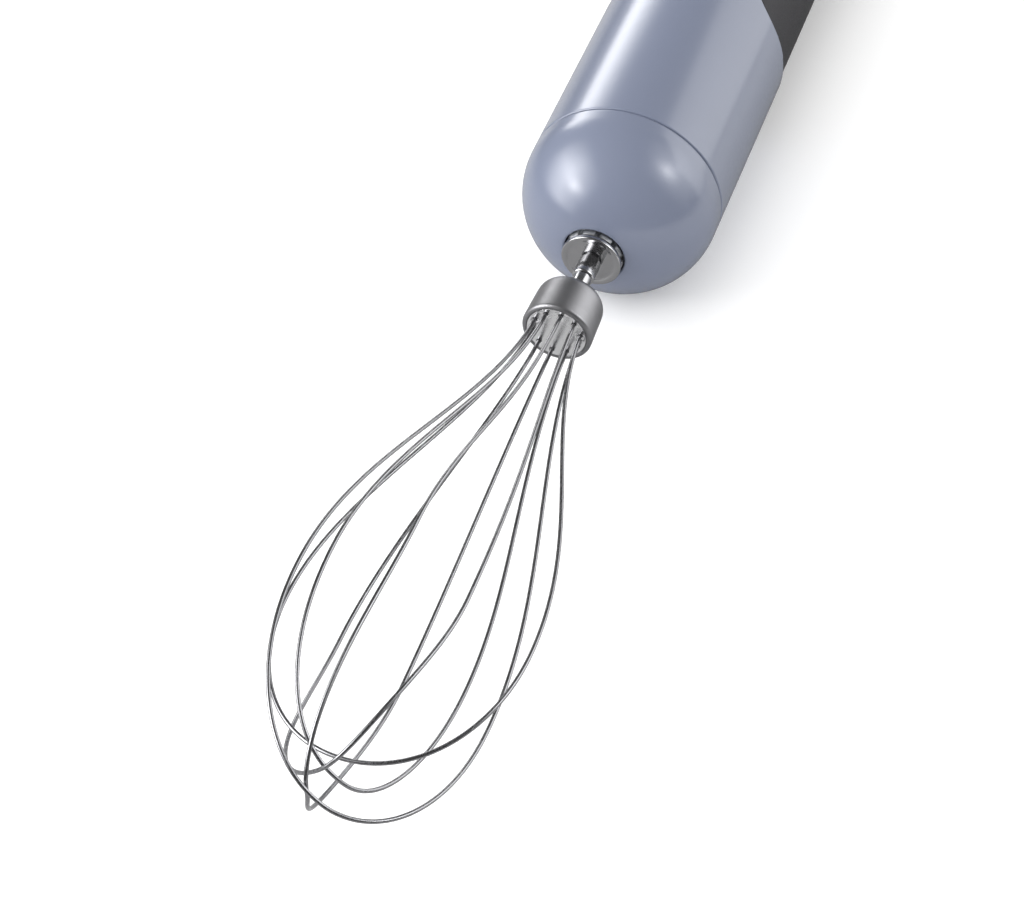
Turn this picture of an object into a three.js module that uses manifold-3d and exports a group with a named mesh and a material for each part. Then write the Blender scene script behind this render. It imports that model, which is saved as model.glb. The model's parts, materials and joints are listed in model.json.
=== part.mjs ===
// Immersion blender: a drive unit with its whisk attachment, lying on its underside.
// Millimetres, +Z up. The long axis runs along Y, with the whisk towards -Y and the handle towards +Y.
// Stations along the axis are measured from the parting plane between the adapter and the drive unit.
import * as THREE from "three";
import { mergeVertices } from "three/addons/utils/BufferGeometryUtils.js";
import Module from "manifold-3d";

const wasm = await Module();
wasm.setup();

// ---------------------------------------------------------------- driving dimensions

const BODY_RADIUS = 30;
const AXIS_HEIGHT = 29.5;
// The middle of the whole object, across and along, seen from the axis at the parting plane.
const MIDDLE_ACROSS = -2.15;
const MIDDLE_STATION = -19.14;
const WALL = 2.6;
const GAP = 0.3;
const RUNNING_FIT = 0.08;
const PARTING_GAP = 0.5;
const MERGE_TOLERANCE = 1e-4;
const ROUND_SIDES = 28;
const MEDIUM_SIDES = 24;
const SMALL_SIDES = 16;
const PIN_SIDES = 12;
const QUARTER = Math.PI / 2;
const DEGREE = Math.PI / 180;

// Adapter
const SKIRT_LENGTH = 4;
const NOSE_LENGTH = 28;
const RECESS_RADIUS = 9.3;
const RECESS_FLOOR = -25.6;
const HUB_RADIUS = 5.4;
const SOCKET_RADIUS = 3;
const PIN_RADIUS = 1.5;
const SUN_SHAFT_RADIUS = 2.45;
const HUB_FRONT = -31.4;
const CROWN_RADIUS = 8.9;
const CROWN_THICKNESS = 3.6;
const CROWN_NOTCHES = 10;
const FIRST_NOTCH = 8;
const NOTCH_RADIUS = 0.9;
const NOTCH_CIRCLE = 8.3;

// Reduction gears: one module, a fixed ring, three planets on a carrier
const MODULE = 0.85;
const SUN_TEETH = 9;
const PLANET_TEETH = 18;
const RING_TEETH = 45;
const PLANET_COUNT = 3;
const PLANET_CENTRES = (MODULE * (SUN_TEETH + PLANET_TEETH)) / 2;
const BACKLASH = 0.3;
const PLANET_FRONT = -15.4;
const PLANET_REAR = -9.4;
const CARRIER_REAR = -15.8;
const BACKPLATE_FRONT = -8.2;
const COLLAR_REAR = 13.5;
const COLLAR_RADIUS = 21.6;

// Whisk
const FLANGE_STATION = -32.8;
const FLANGE_RADIUS = 9.1;
const FLANGE_THICKNESS = 1.4;
const FERRULE_FACE = -64.8;
const FERRULE_RADIUS = 10.5;
const FERRULE_REAR_RADIUS = 10;
const FERRULE_LENGTH = 15.4;
const PLATE_RADIUS = 9;
const PLATE_THICKNESS = 2.6;
const SHAFT_RADIUS = 2.7;
const WIRE_RADIUS = 0.6;
const WIRE_SIDES = 6;
const WIRE_STEPS = 44;
const HOLE_CIRCLE = 7.2;
const WIRE_TAIL = 6;

// Drive unit
const SPINE_HALF_WIDTH = 16;
const SLEEVE_END = 69;
const SPINE_CORNER = 14;
const GRIP_RECESS = 0.8;
const SEAM = 0.4;
const HOUSING_END = 186;
const TAIL_END = 200;
const TAIL_ROUNDING = 8;

// Controls
const POWER_STATION = 116;
const TURBO_STATION = 142;
const BUTTON_HALF_WIDTH = 6.5;
const BUTTON_TOP = 31.6;
const BUTTON_CLEARANCE = 0.4;
const BUTTON_FLANGE_TOP = 25.2;
const WHEEL_STATION = 166;
const WHEEL_HEIGHT = 20.5;
const WHEEL_RADIUS = 12.5;
const WHEEL_HALF_WIDTH = 3.5;
const AXLE_RADIUS = 1.4;
const RELEASE_STATION = 32;
const RELEASE_HALF_WIDTH = 5.5;
const RELEASE_FACE = -29;

// Motor
const CAN_RADIUS = 19;
const CAN_FRONT = 24;
const CAN_REAR = 80;
const SPINDLE_RADIUS = 2.5;
const BEARING_RADIUS = 5.6;
const ARMATURE_RADIUS = 12.4;
const FAN_RADIUS = 22;

// One entry per wire loop: the angle of its first side from straight up, then for each side its widest
// radius, the distance of that width from the ferrule, and how far it twists on the way there; the
// loop's reach, and how far its tip leans out of its own plane. No two real loops bend quite alike.
const LOOPS = [
  { angle: -62, radius: [35.2, 28.3], widest: [115, 125.5], twist: [4.7, -3.8], reach: 173, lean: 1.9 },
  { angle: -26, radius: [30.3, 22], widest: [108.5, 114.5], twist: [-23.5, -17], reach: 163, lean: -0.8 },
  { angle: 10, radius: [26.5, 27.3], widest: [99, 113.5], twist: [-17.8, -0.8], reach: 171, lean: -5.5 },
  { angle: 46, radius: [22, 38], widest: [111.5, 103], twist: [-5, -2.8], reach: 164.3, lean: -6.4 },
  { angle: 82, radius: [32.9, 36.8], widest: [113, 109.5], twist: [-2, 1.8], reach: 156.4, lean: 0.5 },
];

// ---------------------------------------------------------------- materials

const paint = (colour, roughness, metalness) =>
  new THREE.MeshStandardMaterial({ color: colour, roughness, metalness });
const bluePaint = () => paint(0x919ab2, 0.3, 0);
const darkGrip = () => paint(0x46464a, 0.7, 0);
const blackPlastic = () => paint(0x26262a, 0.5, 0);
const brushedSteel = () => paint(0xa8a8ac, 0.32, 1);
const polishedSteel = () => paint(0xc8c8cc, 0.15, 1);
const zincSteel = () => paint(0x9a9ca0, 0.45, 1);
const bronze = () => paint(0xb08a50, 0.4, 1);
const copper = () => paint(0xb4683c, 0.35, 1);
const whiteNylon = () => paint(0xe4e2da, 0.5, 0);
const rubber = () => paint(0x1c1c1e, 0.85, 0);
const ferrite = () => paint(0x3c3c40, 0.6, 0);
const boardGreen = () => paint(0x2c6a48, 0.5, 0);
const carbon = () => paint(0x2a2a2c, 0.8, 0);

// ---------------------------------------------------------------- solid helpers

function toSolid(geometry) {
  const bare = geometry.index ? geometry.toNonIndexed() : geometry.clone();
  bare.deleteAttribute("normal");
  bare.deleteAttribute("uv");
  const merged = mergeVertices(bare, MERGE_TOLERANCE);
  return new wasm.Manifold(
    new wasm.Mesh({
      numProp: 3,
      vertProperties: merged.attributes.position.array,
      triVerts: new Uint32Array(merged.index.array),
    }),
  );
}

function toGeometry(solid) {
  const mesh = solid.getMesh();
  const geometry = new THREE.BufferGeometry();
  geometry.setAttribute("position", new THREE.BufferAttribute(mesh.vertProperties, 3));
  geometry.setIndex(new THREE.BufferAttribute(mesh.triVerts, 1));
  geometry.computeVertexNormals();
  return geometry;
}

function join(first, ...others) {
  return toGeometry(others.reduce((solid, other) => solid.add(toSolid(other)), toSolid(first)));
}

function cut(first, ...tools) {
  return toGeometry(tools.reduce((solid, tool) => solid.subtract(toSolid(tool)), toSolid(first)));
}

function common(first, second) {
  return toGeometry(toSolid(first).intersect(toSolid(second)));
}

// A solid turned about the Y axis from a closed outline of [radius, station] points.
function turned(outline, sides = ROUND_SIDES) {
  const closed = [...outline, outline[0]];
  return new THREE.LatheGeometry(
    closed.map(([radius, station]) => new THREE.Vector2(radius, station)),
    sides,
  );
}

function ring(inner, outer, front, rear, sides = SMALL_SIDES) {
  const outline = [
    [inner, front],
    [outer, front],
    [outer, rear],
    [inner, rear],
  ];
  return turned(outline, sides);
}

function rod(radius, front, rear, sides = SMALL_SIDES) {
  const geometry = new THREE.CylinderGeometry(radius, radius, rear - front, sides);
  return geometry.translate(0, (front + rear) / 2, 0);
}

function block([x0, x1], [y0, y1], [z0, z1]) {
  const geometry = new THREE.BoxGeometry(x1 - x0, y1 - y0, z1 - z0);
  return geometry.translate((x0 + x1) / 2, (y0 + y1) / 2, (z0 + z1) / 2);
}

// Points on an elliptical arc in the [radius, station] plane.
function arc([centreRadius, centreStation], [across, along], from, to, steps) {
  const points = [];
  for (let i = 0; i <= steps; i += 1) {
    const angle = from + ((to - from) * i) / steps;
    points.push([centreRadius + across * Math.cos(angle), centreStation + along * Math.sin(angle)]);
  }
  return points;
}

function outlineShape(points) {
  return new THREE.Shape(points.map(([x, y]) => new THREE.Vector2(x, y)));
}

// A flat outline in X and Z, drawn as [x, z], made into a plate from one station to another.
function plate(shape, front, rear) {
  const geometry = new THREE.ExtrudeGeometry(shape, {
    depth: rear - front,
    bevelEnabled: false,
    curveSegments: SMALL_SIDES / 2,
  });
  return geometry.rotateX(QUARTER).translate(0, rear, 0);
}

// A plan outline in X and Y raised from one height to another.
function raised(shape, low, high, curveSegments = 6) {
  const geometry = new THREE.ExtrudeGeometry(shape, {
    depth: high - low,
    bevelEnabled: false,
    curveSegments,
  });
  return geometry.translate(0, 0, low);
}

// A bore whose flats clear a round pin by the running fit.
function roundBore(pinRadius, sides = SMALL_SIDES) {
  return (pinRadius + RUNNING_FIT) / Math.cos(Math.PI / sides);
}

function stadium(halfWidth, halfLength, station) {
  const straight = halfLength - halfWidth;
  const shape = new THREE.Shape();
  shape.absarc(0, station + straight, halfWidth, 0, Math.PI, false);
  shape.absarc(0, station - straight, halfWidth, Math.PI, 2 * Math.PI, false);
  shape.closePath();
  return shape;
}

// One tooth after another round a circle, as [x, z] points.
function toothed({ count, rootRadius, tipRadius, rootHalf, tipHalf, phase }) {
  const points = [];
  for (let k = 0; k < count; k += 1) {
    const centre = phase + (2 * Math.PI * k) / count;
    const corners = [
      [rootRadius, -rootHalf],
      [tipRadius, -tipHalf],
      [tipRadius, tipHalf],
      [rootRadius, rootHalf],
    ];
    for (const [radius, offset] of corners) {
      points.push([radius * Math.cos(centre + offset), radius * Math.sin(centre + offset)]);
    }
  }
  return points;
}

// The outline of a gear with straight 20 degree flanks; side is 1 for outside teeth, -1 for inside ones.
function gearOutline(teeth, phase, side) {
  const pitchRadius = (MODULE * teeth) / 2;
  const tipRadius = pitchRadius + side * 0.85 * MODULE;
  const rootRadius = pitchRadius - side * 1.1 * MODULE;
  const half = (Math.PI * MODULE) / 4 - BACKLASH / 2;
  const slope = Math.tan(20 * DEGREE);
  const tipHalf = (half - 0.85 * MODULE * slope) / tipRadius;
  const rootHalf = (half + 1.1 * MODULE * slope) / rootRadius;
  return toothed({ count: teeth, rootRadius, tipRadius, rootHalf, tipHalf, phase });
}

class Helix extends THREE.Curve {
  constructor(radius, low, high, turns) {
    super();
    Object.assign(this, { radius, low, high, turns });
  }

  getPoint(t) {
    const angle = 2 * Math.PI * this.turns * t;
    const height = this.low + (this.high - this.low) * t;
    return new THREE.Vector3(this.radius * Math.cos(angle), this.radius * Math.sin(angle), height);
  }
}

function roundWire(path, radius, sides, steps) {
  const section = new THREE.Shape();
  section.absarc(0, 0, radius, 0, 2 * Math.PI, false);
  return new THREE.ExtrudeGeometry(section, {
    steps,
    bevelEnabled: false,
    extrudePath: path,
    curveSegments: sides / 2,
  });
}

function coilSpring(radius, low, high, turns) {
  const STEPS_PER_TURN = 9;
  const WIRE = 0.35;
  return roundWire(new Helix(radius, low, high, turns), WIRE, 4, Math.round(turns * STEPS_PER_TURN));
}

// Takes off whatever would reach below the flat that the object lies on.
function flatUnderside(geometry) {
  const reach = 400;
  return cut(geometry, block([-reach, reach], [-reach, reach], [-reach, -AXIS_HEIGHT]));
}

// ---------------------------------------------------------------- assembly

const blender = new THREE.Group();
const assembly = new THREE.Group();
assembly.position.set(-MIDDLE_ACROSS, -MIDDLE_STATION, AXIS_HEIGHT);
blender.add(assembly);

function add(name, geometry, material, position = [0, 0, 0]) {
  const mesh = new THREE.Mesh(geometry, material);
  mesh.name = name;
  mesh.position.set(...position);
  assembly.add(mesh);
  return mesh;
}

// ---------------------------------------------------------------- whisk

const smooth = (value) => {
  const x = Math.min(Math.max(value, 0), 1);
  return x * x * (3 - 2 * x);
};

// A wire loop: straight out of its hole, swelling to its widest, then round the tip and back.
class WhiskLoop extends THREE.Curve {
  constructor(loop) {
    super();
    this.loop = loop;
    this.arcLengthDivisions = 800;
  }

  // Radius and distance from the ferrule's face along one side, for u from 0 at the root to 1 at the tip.
  profile(side, u) {
    const TAIL_SHARE = 0.04;
    const SWELL_SHARE = 0.6;
    const TIP_POWER = 2.12;
    const radius = this.loop.radius[side];
    const widest = this.loop.widest[side];
    if (u < TAIL_SHARE) return [HOLE_CIRCLE, -WIRE_TAIL * (1 - u / TAIL_SHARE)];
    if (u < SWELL_SHARE) {
      const swell = new THREE.CubicBezierCurve(
        new THREE.Vector2(HOLE_CIRCLE, 0),
        new THREE.Vector2(HOLE_CIRCLE + 0.02 * widest, 0.34 * widest),
        new THREE.Vector2(radius, 0.643 * widest),
        new THREE.Vector2(radius, widest),
      );
      const point = swell.getPoint((u - TAIL_SHARE) / (SWELL_SHARE - TAIL_SHARE));
      return [point.x, point.y];
    }
    const angle = (QUARTER * (u - SWELL_SHARE)) / (1 - SWELL_SHARE);
    const across = Math.max(Math.cos(angle), 0) ** (2 / TIP_POWER);
    const along = Math.sin(angle) ** (2 / TIP_POWER);
    return [radius * across, widest + (this.loop.reach - widest) * along];
  }

  getPoint(t) {
    const { angle, widest, twist, reach, lean } = this.loop;
    const side = t < 0.5 ? 0 : 1;
    const [radius, distance] = this.profile(side, side ? 2 - 2 * t : 2 * t);
    const base = angle * DEGREE;
    const turn = base + side * Math.PI + twist[side] * DEGREE * smooth(distance / widest[side]);
    const shift = lean * smooth((distance - widest[side]) / (reach - widest[side]));
    return new THREE.Vector3(
      radius * Math.sin(turn) + shift * Math.cos(base),
      FERRULE_FACE - distance,
      radius * Math.cos(turn) - shift * Math.sin(base),
    );
  }
}

function addLoops() {
  LOOPS.forEach((loop, index) => {
    const wire = roundWire(new WhiskLoop(loop), WIRE_RADIUS, WIRE_SIDES, WIRE_STEPS);
    add("whisk_loop_" + (index + 1), wire, polishedSteel());
  });
}

function ferrule() {
  const rear = FERRULE_FACE + FERRULE_LENGTH;
  const inner = PLATE_RADIUS + GAP;
  const shoulder = 3.4;
  const lip = 1;
  const outline = [
    [inner, FERRULE_FACE + 0.4],
    [inner + 0.15, FERRULE_FACE],
    ...arc([FERRULE_RADIUS - lip, FERRULE_FACE + lip], [lip, lip], -QUARTER, 0, 3),
    ...arc([FERRULE_REAR_RADIUS - shoulder, rear - shoulder], [shoulder, shoulder], 0, QUARTER, 4),
    [SHAFT_RADIUS + GAP, rear],
    [SHAFT_RADIUS + GAP, rear - 2.4],
    [inner, rear - 2.4],
  ];
  return turned(outline, MEDIUM_SIDES);
}

function ferrulePlate() {
  const front = FERRULE_FACE + 0.4;
  const disc = rod(PLATE_RADIUS, front, front + PLATE_THICKNESS, MEDIUM_SIDES);
  const holes = [];
  for (const loop of LOOPS) {
    for (const angle of [loop.angle * DEGREE, loop.angle * DEGREE + Math.PI]) {
      const hole = rod(WIRE_RADIUS + 0.35, front - 1, front + PLATE_THICKNESS + 1, WIRE_SIDES);
      holes.push(hole.translate(HOLE_CIRCLE * Math.sin(angle), 0, HOLE_CIRCLE * Math.cos(angle)));
    }
  }
  return cut(disc, ...holes);
}

function whiskShaft() {
  const front = FERRULE_FACE + FERRULE_LENGTH - 5;
  const sleeveFront = -41;
  const sleeveRear = FLANGE_STATION - FLANGE_THICKNESS / 2 - GAP;
  const hexFront = HUB_FRONT - 0.7;
  const hexRear = CARRIER_REAR - 0.6;
  const round = rod(SHAFT_RADIUS, front, hexFront + GAP);
  const sleeve = turned([
    [0, sleeveFront],
    [2.9, sleeveFront],
    [3.3, sleeveFront + 0.8],
    [3.3, sleeveRear],
    [0, sleeveRear],
  ], SMALL_SIDES);
  return join(round, sleeve, rod(SOCKET_RADIUS - 0.1, hexFront, hexRear, 6));
}

function shaftFlange() {
  const front = FLANGE_STATION - FLANGE_THICKNESS / 2;
  const rear = FLANGE_STATION + FLANGE_THICKNESS / 2;
  const bore = SHAFT_RADIUS + GAP;
  const outline = [
    [bore, front + 0.4],
    [FLANGE_RADIUS - 1.2, front + 0.3],
    [FLANGE_RADIUS - 0.3, front],
    [FLANGE_RADIUS, front + 0.3],
    [FLANGE_RADIUS, rear - 0.2],
    [FLANGE_RADIUS - 0.3, rear],
    [bore, rear],
  ];
  return turned(outline, MEDIUM_SIDES);
}

// ---------------------------------------------------------------- adapter

function adapterDome() {
  const edge = -PARTING_GAP / 2;
  const lipRadius = RECESS_RADIUS + 0.4;
  const outerEnd = Math.acos(lipRadius / BODY_RADIUS);
  const bossRadius = RECESS_RADIUS + 1.9;
  const innerAcross = BODY_RADIUS - WALL;
  const innerAlong = NOSE_LENGTH - WALL;
  const innerEnd = Math.acos(bossRadius / innerAcross);
  const recessMouth = -SKIRT_LENGTH - NOSE_LENGTH * Math.sin(outerEnd) + 0.6;
  const outline = [
    [innerAcross, edge],
    ...arc([0, -SKIRT_LENGTH], [innerAcross, -innerAlong], 0, innerEnd, 5),
    [bossRadius, -18.6],
    [8, -18.6],
    [8, -24.4],
    [6.4, -24.4],
    [6.4, RECESS_FLOOR],
    [RECESS_RADIUS, RECESS_FLOOR],
    [RECESS_RADIUS, recessMouth],
    ...arc([0, -SKIRT_LENGTH], [BODY_RADIUS, -NOSE_LENGTH], outerEnd, 0, 8),
    [BODY_RADIUS, edge],
  ];
  const posts = screwPlaces().map(([x, z]) => rod(2.2, -22, BACKPLATE_FRONT - GAP, 10).translate(x, 0, z));
  const envelope = turned([
    [0, -SKIRT_LENGTH - NOSE_LENGTH + 1],
    ...arc([0, -SKIRT_LENGTH], [BODY_RADIUS - 1, 1 - NOSE_LENGTH], QUARTER, 0, 6).slice(1),
    [BODY_RADIUS - 1, edge],
    [0, edge],
  ]);
  const kept = posts.map((post) => common(post, envelope));
  const threads = screwPlaces().map(([x, z]) => rod(1.45, -16.5, BACKPLATE_FRONT, 8).translate(x, 0, z));
  return flatUnderside(cut(join(turned(outline), ...kept), ...threads));
}

function screwPlaces() {
  const SCREW_CIRCLE = 24;
  return [30, 150, 270].map((degrees) => [
    SCREW_CIRCLE * Math.cos(degrees * DEGREE),
    SCREW_CIRCLE * Math.sin(degrees * DEGREE),
  ]);
}

function backplateScrew() {
  const headFront = BACKPLATE_FRONT + 2 + GAP;
  return join(rod(1.15, -15.5, headFront + 0.5, 8), rod(1.7, headFront, headFront + 1.5, PIN_SIDES));
}

// The plate that closes the gearbox, with the collar that plugs into the drive unit.
function adapterBackplate() {
  const rear = BACKPLATE_FRONT + 2;
  const lipRear = 2.5;
  const lipRadius = BODY_RADIUS - WALL - 0.6;
  const disc = turned([
    [4.7, BACKPLATE_FRONT],
    [lipRadius - 0.5, BACKPLATE_FRONT],
    [lipRadius, rear - 0.2],
    [lipRadius, lipRear],
    [lipRadius - 0.7, lipRear],
    [lipRadius - 0.7, rear],
    [4.7, rear],
  ]);
  const collar = ring(COLLAR_RADIUS - 2.2, COLLAR_RADIUS, rear - 1, COLLAR_REAR, ROUND_SIDES);
  const keyway = block([-3.2, 3.2], [4.2, COLLAR_REAR + 1], [-COLLAR_RADIUS - 1, -15]);
  const holes = screwPlaces().map(([x, z]) => rod(1.5, BACKPLATE_FRONT - 1, rear + 1, 8).translate(x, 0, z));
  return cut(join(disc, collar), keyway, ...holes);
}

function ringGear() {
  const shape = new THREE.Shape();
  shape.absarc(0, 0, 21.4, 0, 2 * Math.PI, false);
  shape.holes.push(new THREE.Path(gearOutline(RING_TEETH, QUARTER, -1).map(([x, z]) => new THREE.Vector2(x, z))));
  return plate(shape, PLANET_FRONT, BACKPLATE_FRONT - GAP);
}

function planetAngle(index) {
  return QUARTER + (2 * Math.PI * index) / PLANET_COUNT;
}

function planetPlace(index) {
  const angle = planetAngle(index);
  return [PLANET_CENTRES * Math.cos(angle), 0, PLANET_CENTRES * Math.sin(angle)];
}

// Each planet meets the sun with a gap between teeth, and so meets the ring with a gap as well.
function planetGear(index) {
  const phase = planetAngle(index) + Math.PI + Math.PI / PLANET_TEETH;
  const shape = outlineShape(gearOutline(PLANET_TEETH, phase, 1));
  const bore = new THREE.Path();
  bore.absarc(0, 0, roundBore(PIN_RADIUS), 0, 2 * Math.PI, true);
  shape.holes.push(bore);
  return plate(shape, PLANET_FRONT, PLANET_REAR);
}

// The sun gear's own shaft runs back through the bush and ends in the hexagon that the motor drives.
function sunGear() {
  const teeth = plate(outlineShape(gearOutline(SUN_TEETH, QUARTER, 1)), PLANET_FRONT + 0.8, PLANET_REAR + 0.2);
  return join(teeth, rod(SUN_SHAFT_RADIUS, PLANET_REAR, -3.2), rod(SUN_SHAFT_RADIUS, -3.4, 8.6, 6));
}

// The planet carrier, with the hub that holds the whisk's shaft in its hexagonal socket. The hub ends in
// a crown with round notches, which stops it and takes a pin spanner.
function outputSocket() {
  const plateFront = CARRIER_REAR - 2.4;
  const hub = rod(HUB_RADIUS, HUB_FRONT + 1, plateFront + 0.5, MEDIUM_SIDES);
  const crown = rod(CROWN_RADIUS, HUB_FRONT, HUB_FRONT + CROWN_THICKNESS, ROUND_SIDES);
  const disc = rod(16, plateFront, CARRIER_REAR, MEDIUM_SIDES);
  const socket = rod(SOCKET_RADIUS, HUB_FRONT - 1, CARRIER_REAR + 1, 6);
  const pinHoles = [];
  for (let i = 0; i < PLANET_COUNT; i += 1) {
    const hole = rod(PIN_RADIUS + GAP, plateFront - 1, CARRIER_REAR + 1, PIN_SIDES);
    pinHoles.push(hole.translate(...planetPlace(i)));
  }
  const notches = [];
  for (let i = 0; i < CROWN_NOTCHES; i += 1) {
    const angle = FIRST_NOTCH * DEGREE + (2 * Math.PI * i) / CROWN_NOTCHES;
    const notch = rod(NOTCH_RADIUS, HUB_FRONT - 1, HUB_FRONT + CROWN_THICKNESS - 0.6, PIN_SIDES);
    notches.push(notch.translate(NOTCH_CIRCLE * Math.sin(angle), 0, NOTCH_CIRCLE * Math.cos(angle)));
  }
  return cut(join(hub, crown, disc), socket, ...pinHoles, ...notches);
}

function addAdapter() {
  add("adapter_dome", adapterDome(), bluePaint());
  const hubBore = roundBore(HUB_RADIUS, MEDIUM_SIDES);
  add("nose_seal", ring(HUB_RADIUS + GAP, 8.8, RECESS_FLOOR - 1.2, RECESS_FLOOR - GAP, MEDIUM_SIDES), rubber());
  add("nose_bush", ring(hubBore, 7.7, -24.1, -18.9, MEDIUM_SIDES), bronze());
  add("output_socket", outputSocket(), brushedSteel());
  for (let i = 0; i < PLANET_COUNT; i += 1) {
    const pin = rod(PIN_RADIUS, CARRIER_REAR - 2.2, PLANET_REAR + 0.4, PIN_SIDES);
    add("planet_pin_" + (i + 1), pin, polishedSteel(), planetPlace(i));
    add("planet_gear_" + (i + 1), planetGear(i), whiteNylon(), planetPlace(i));
  }
  add("ring_gear", ringGear(), whiteNylon());
  add("sun_gear", sunGear(), zincSteel());
  add("sun_bush", ring(roundBore(SUN_SHAFT_RADIUS), 4.4, BACKPLATE_FRONT, -4.4), bronze());
  add("adapter_backplate", adapterBackplate(), blackPlastic());
  screwPlaces().forEach(([x, z], index) => {
    add("backplate_screw_" + (index + 1), backplateScrew(), zincSteel(), [x, 0, z]);
  });
}

// ---------------------------------------------------------------- drive unit shells

// Plan outline of the painted part: the full sleeve, then the narrow spine, with round inner corners.
// A positive spread makes it that much wider and longer.
function spinePlan(spread) {
  const wide = BODY_RADIUS + 10;
  const centre = [SPINE_HALF_WIDTH + SPINE_CORNER, SLEEVE_END + SPINE_CORNER];
  const radius = SPINE_CORNER - spread;
  const corner = arc(centre, [radius, radius], -QUARTER, -Math.PI, 6);
  const right = [[wide, -20], [wide, SLEEVE_END + spread], ...corner, [centre[0] - radius, TAIL_END + 20]];
  const left = right.map(([x, y]) => [-x, y]).reverse();
  return outlineShape([...right, ...left]);
}

// Everything that belongs to the painted housing, as a solid to keep or to take away.
function paintedRegion(spread) {
  const reach = BODY_RADIUS + 10;
  const lower = block([-reach, reach], [-20, SLEEVE_END + spread], [-reach, 0]);
  return join(raised(spinePlan(spread), -0.5, reach), lower);
}

// Two ears under the spine that carry the speed wheel's axle.
function wheelEars() {
  return [-1, 1].map((side) => {
    const inner = side * (WHEEL_HALF_WIDTH + 1.3);
    const outer = side * (WHEEL_HALF_WIDTH + 3.1);
    const across = [Math.min(inner, outer), Math.max(inner, outer)];
    return block(across, [WHEEL_STATION - 3, WHEEL_STATION + 3], [WHEEL_HEIGHT - 3, 28]);
  });
}

function frontHousing() {
  const front = PARTING_GAP / 2;
  const shell = ring(BODY_RADIUS - WALL, BODY_RADIUS, front, HOUSING_END, ROUND_SIDES);
  const painted = common(shell, paintedRegion(0));
  const reach = BODY_RADIUS + 5;
  const openings = [
    raised(stadium(BUTTON_HALF_WIDTH + BUTTON_CLEARANCE, 10 + BUTTON_CLEARANCE, POWER_STATION), 15, reach),
    raised(stadium(BUTTON_HALF_WIDTH + BUTTON_CLEARANCE, 8 + BUTTON_CLEARANCE, TURBO_STATION), 15, reach),
    raised(stadium(RELEASE_HALF_WIDTH + BUTTON_CLEARANCE, 9 + BUTTON_CLEARANCE, RELEASE_STATION), -reach, -15),
    block(
      [-WHEEL_HALF_WIDTH - 0.7, WHEEL_HALF_WIDTH + 0.7],
      [WHEEL_STATION - 11.4, WHEEL_STATION + 11.4],
      [15, reach],
    ),
  ];
  const axleHole = rod(AXLE_RADIUS + GAP, -10, 10, PIN_SIDES).rotateZ(QUARTER);
  axleHole.translate(0, WHEEL_STATION, WHEEL_HEIGHT);
  return flatUnderside(cut(join(painted, ...wheelEars()), ...openings, axleHole));
}

// The dark grip fills the rest of the handle a little below the paint, with an edge tucked under it.
function rearGrip() {
  const inner = BODY_RADIUS - WALL - 1.2;
  const tuckOuter = BODY_RADIUS - WALL - GAP;
  const tuckReach = -3;
  const skin = ring(inner, BODY_RADIUS - GRIP_RECESS, SLEEVE_END - 10, HOUSING_END, ROUND_SIDES);
  const tuck = ring(inner, tuckOuter, SLEEVE_END - 10, HOUSING_END, ROUND_SIDES);
  return join(cut(skin, paintedRegion(SEAM)), cut(tuck, paintedRegion(tuckReach)));
}

function tailCap() {
  const front = HOUSING_END + SEAM;
  const inner = BODY_RADIUS - WALL;
  const outline = [
    [inner, front],
    [BODY_RADIUS, front],
    ...arc([BODY_RADIUS - TAIL_ROUNDING, TAIL_END - TAIL_ROUNDING], [TAIL_ROUNDING, TAIL_ROUNDING], 0, QUARTER, 4),
    [6.4, TAIL_END],
    [6.4, TAIL_END - WALL],
    [inner - 6, TAIL_END - WALL],
    [inner, TAIL_END - TAIL_ROUNDING],
  ];
  return flatUnderside(turned(outline));
}

function cordGland() {
  return turned([
    [3.6, TAIL_END - 6],
    [8.2, TAIL_END - 6],
    [8.2, TAIL_END - WALL - GAP],
    [6.0, TAIL_END - WALL - GAP],
    [6.0, TAIL_END - 0.2],
    [3.6, TAIL_END - 0.2],
  ], SMALL_SIDES);
}

// The wall behind the mouth, with the tube that the adapter's collar slides into.
function frontBulkhead() {
  const wallFront = 16.5;
  const wallRear = 19;
  const wall = ring(4, BODY_RADIUS - WALL - GAP, wallFront, wallRear, ROUND_SIDES);
  const tube = ring(COLLAR_RADIUS + 0.1, COLLAR_RADIUS + 2, 3, wallFront + 0.5, ROUND_SIDES);
  const latchSlot = block([-3.2, 3.2], [COLLAR_REAR - 0.2, wallRear + 1], [-28, -15]);
  return cut(join(wall, tube), latchSlot);
}

// ---------------------------------------------------------------- motor

function motorCan() {
  const outline = [
    [BEARING_RADIUS + 0.3, CAN_FRONT],
    [CAN_RADIUS, CAN_FRONT],
    [CAN_RADIUS, CAN_REAR],
    [CAN_RADIUS - 1.6, CAN_REAR],
    [CAN_RADIUS - 1.6, CAN_FRONT + 1.8],
    [BEARING_RADIUS + 0.3, CAN_FRONT + 1.8],
  ];
  return turned(outline, MEDIUM_SIDES);
}

function magnet(centreDegrees) {
  const inner = ARMATURE_RADIUS + 0.8;
  const outer = CAN_RADIUS - 1.6 - GAP;
  const half = 62 * DEGREE;
  const centre = centreDegrees * DEGREE;
  const shape = new THREE.Shape();
  shape.absarc(0, 0, outer, centre - half, centre + half, false);
  shape.absarc(0, 0, inner, centre + half, centre - half, true);
  shape.closePath();
  return plate(shape, 34, 72);
}

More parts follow.
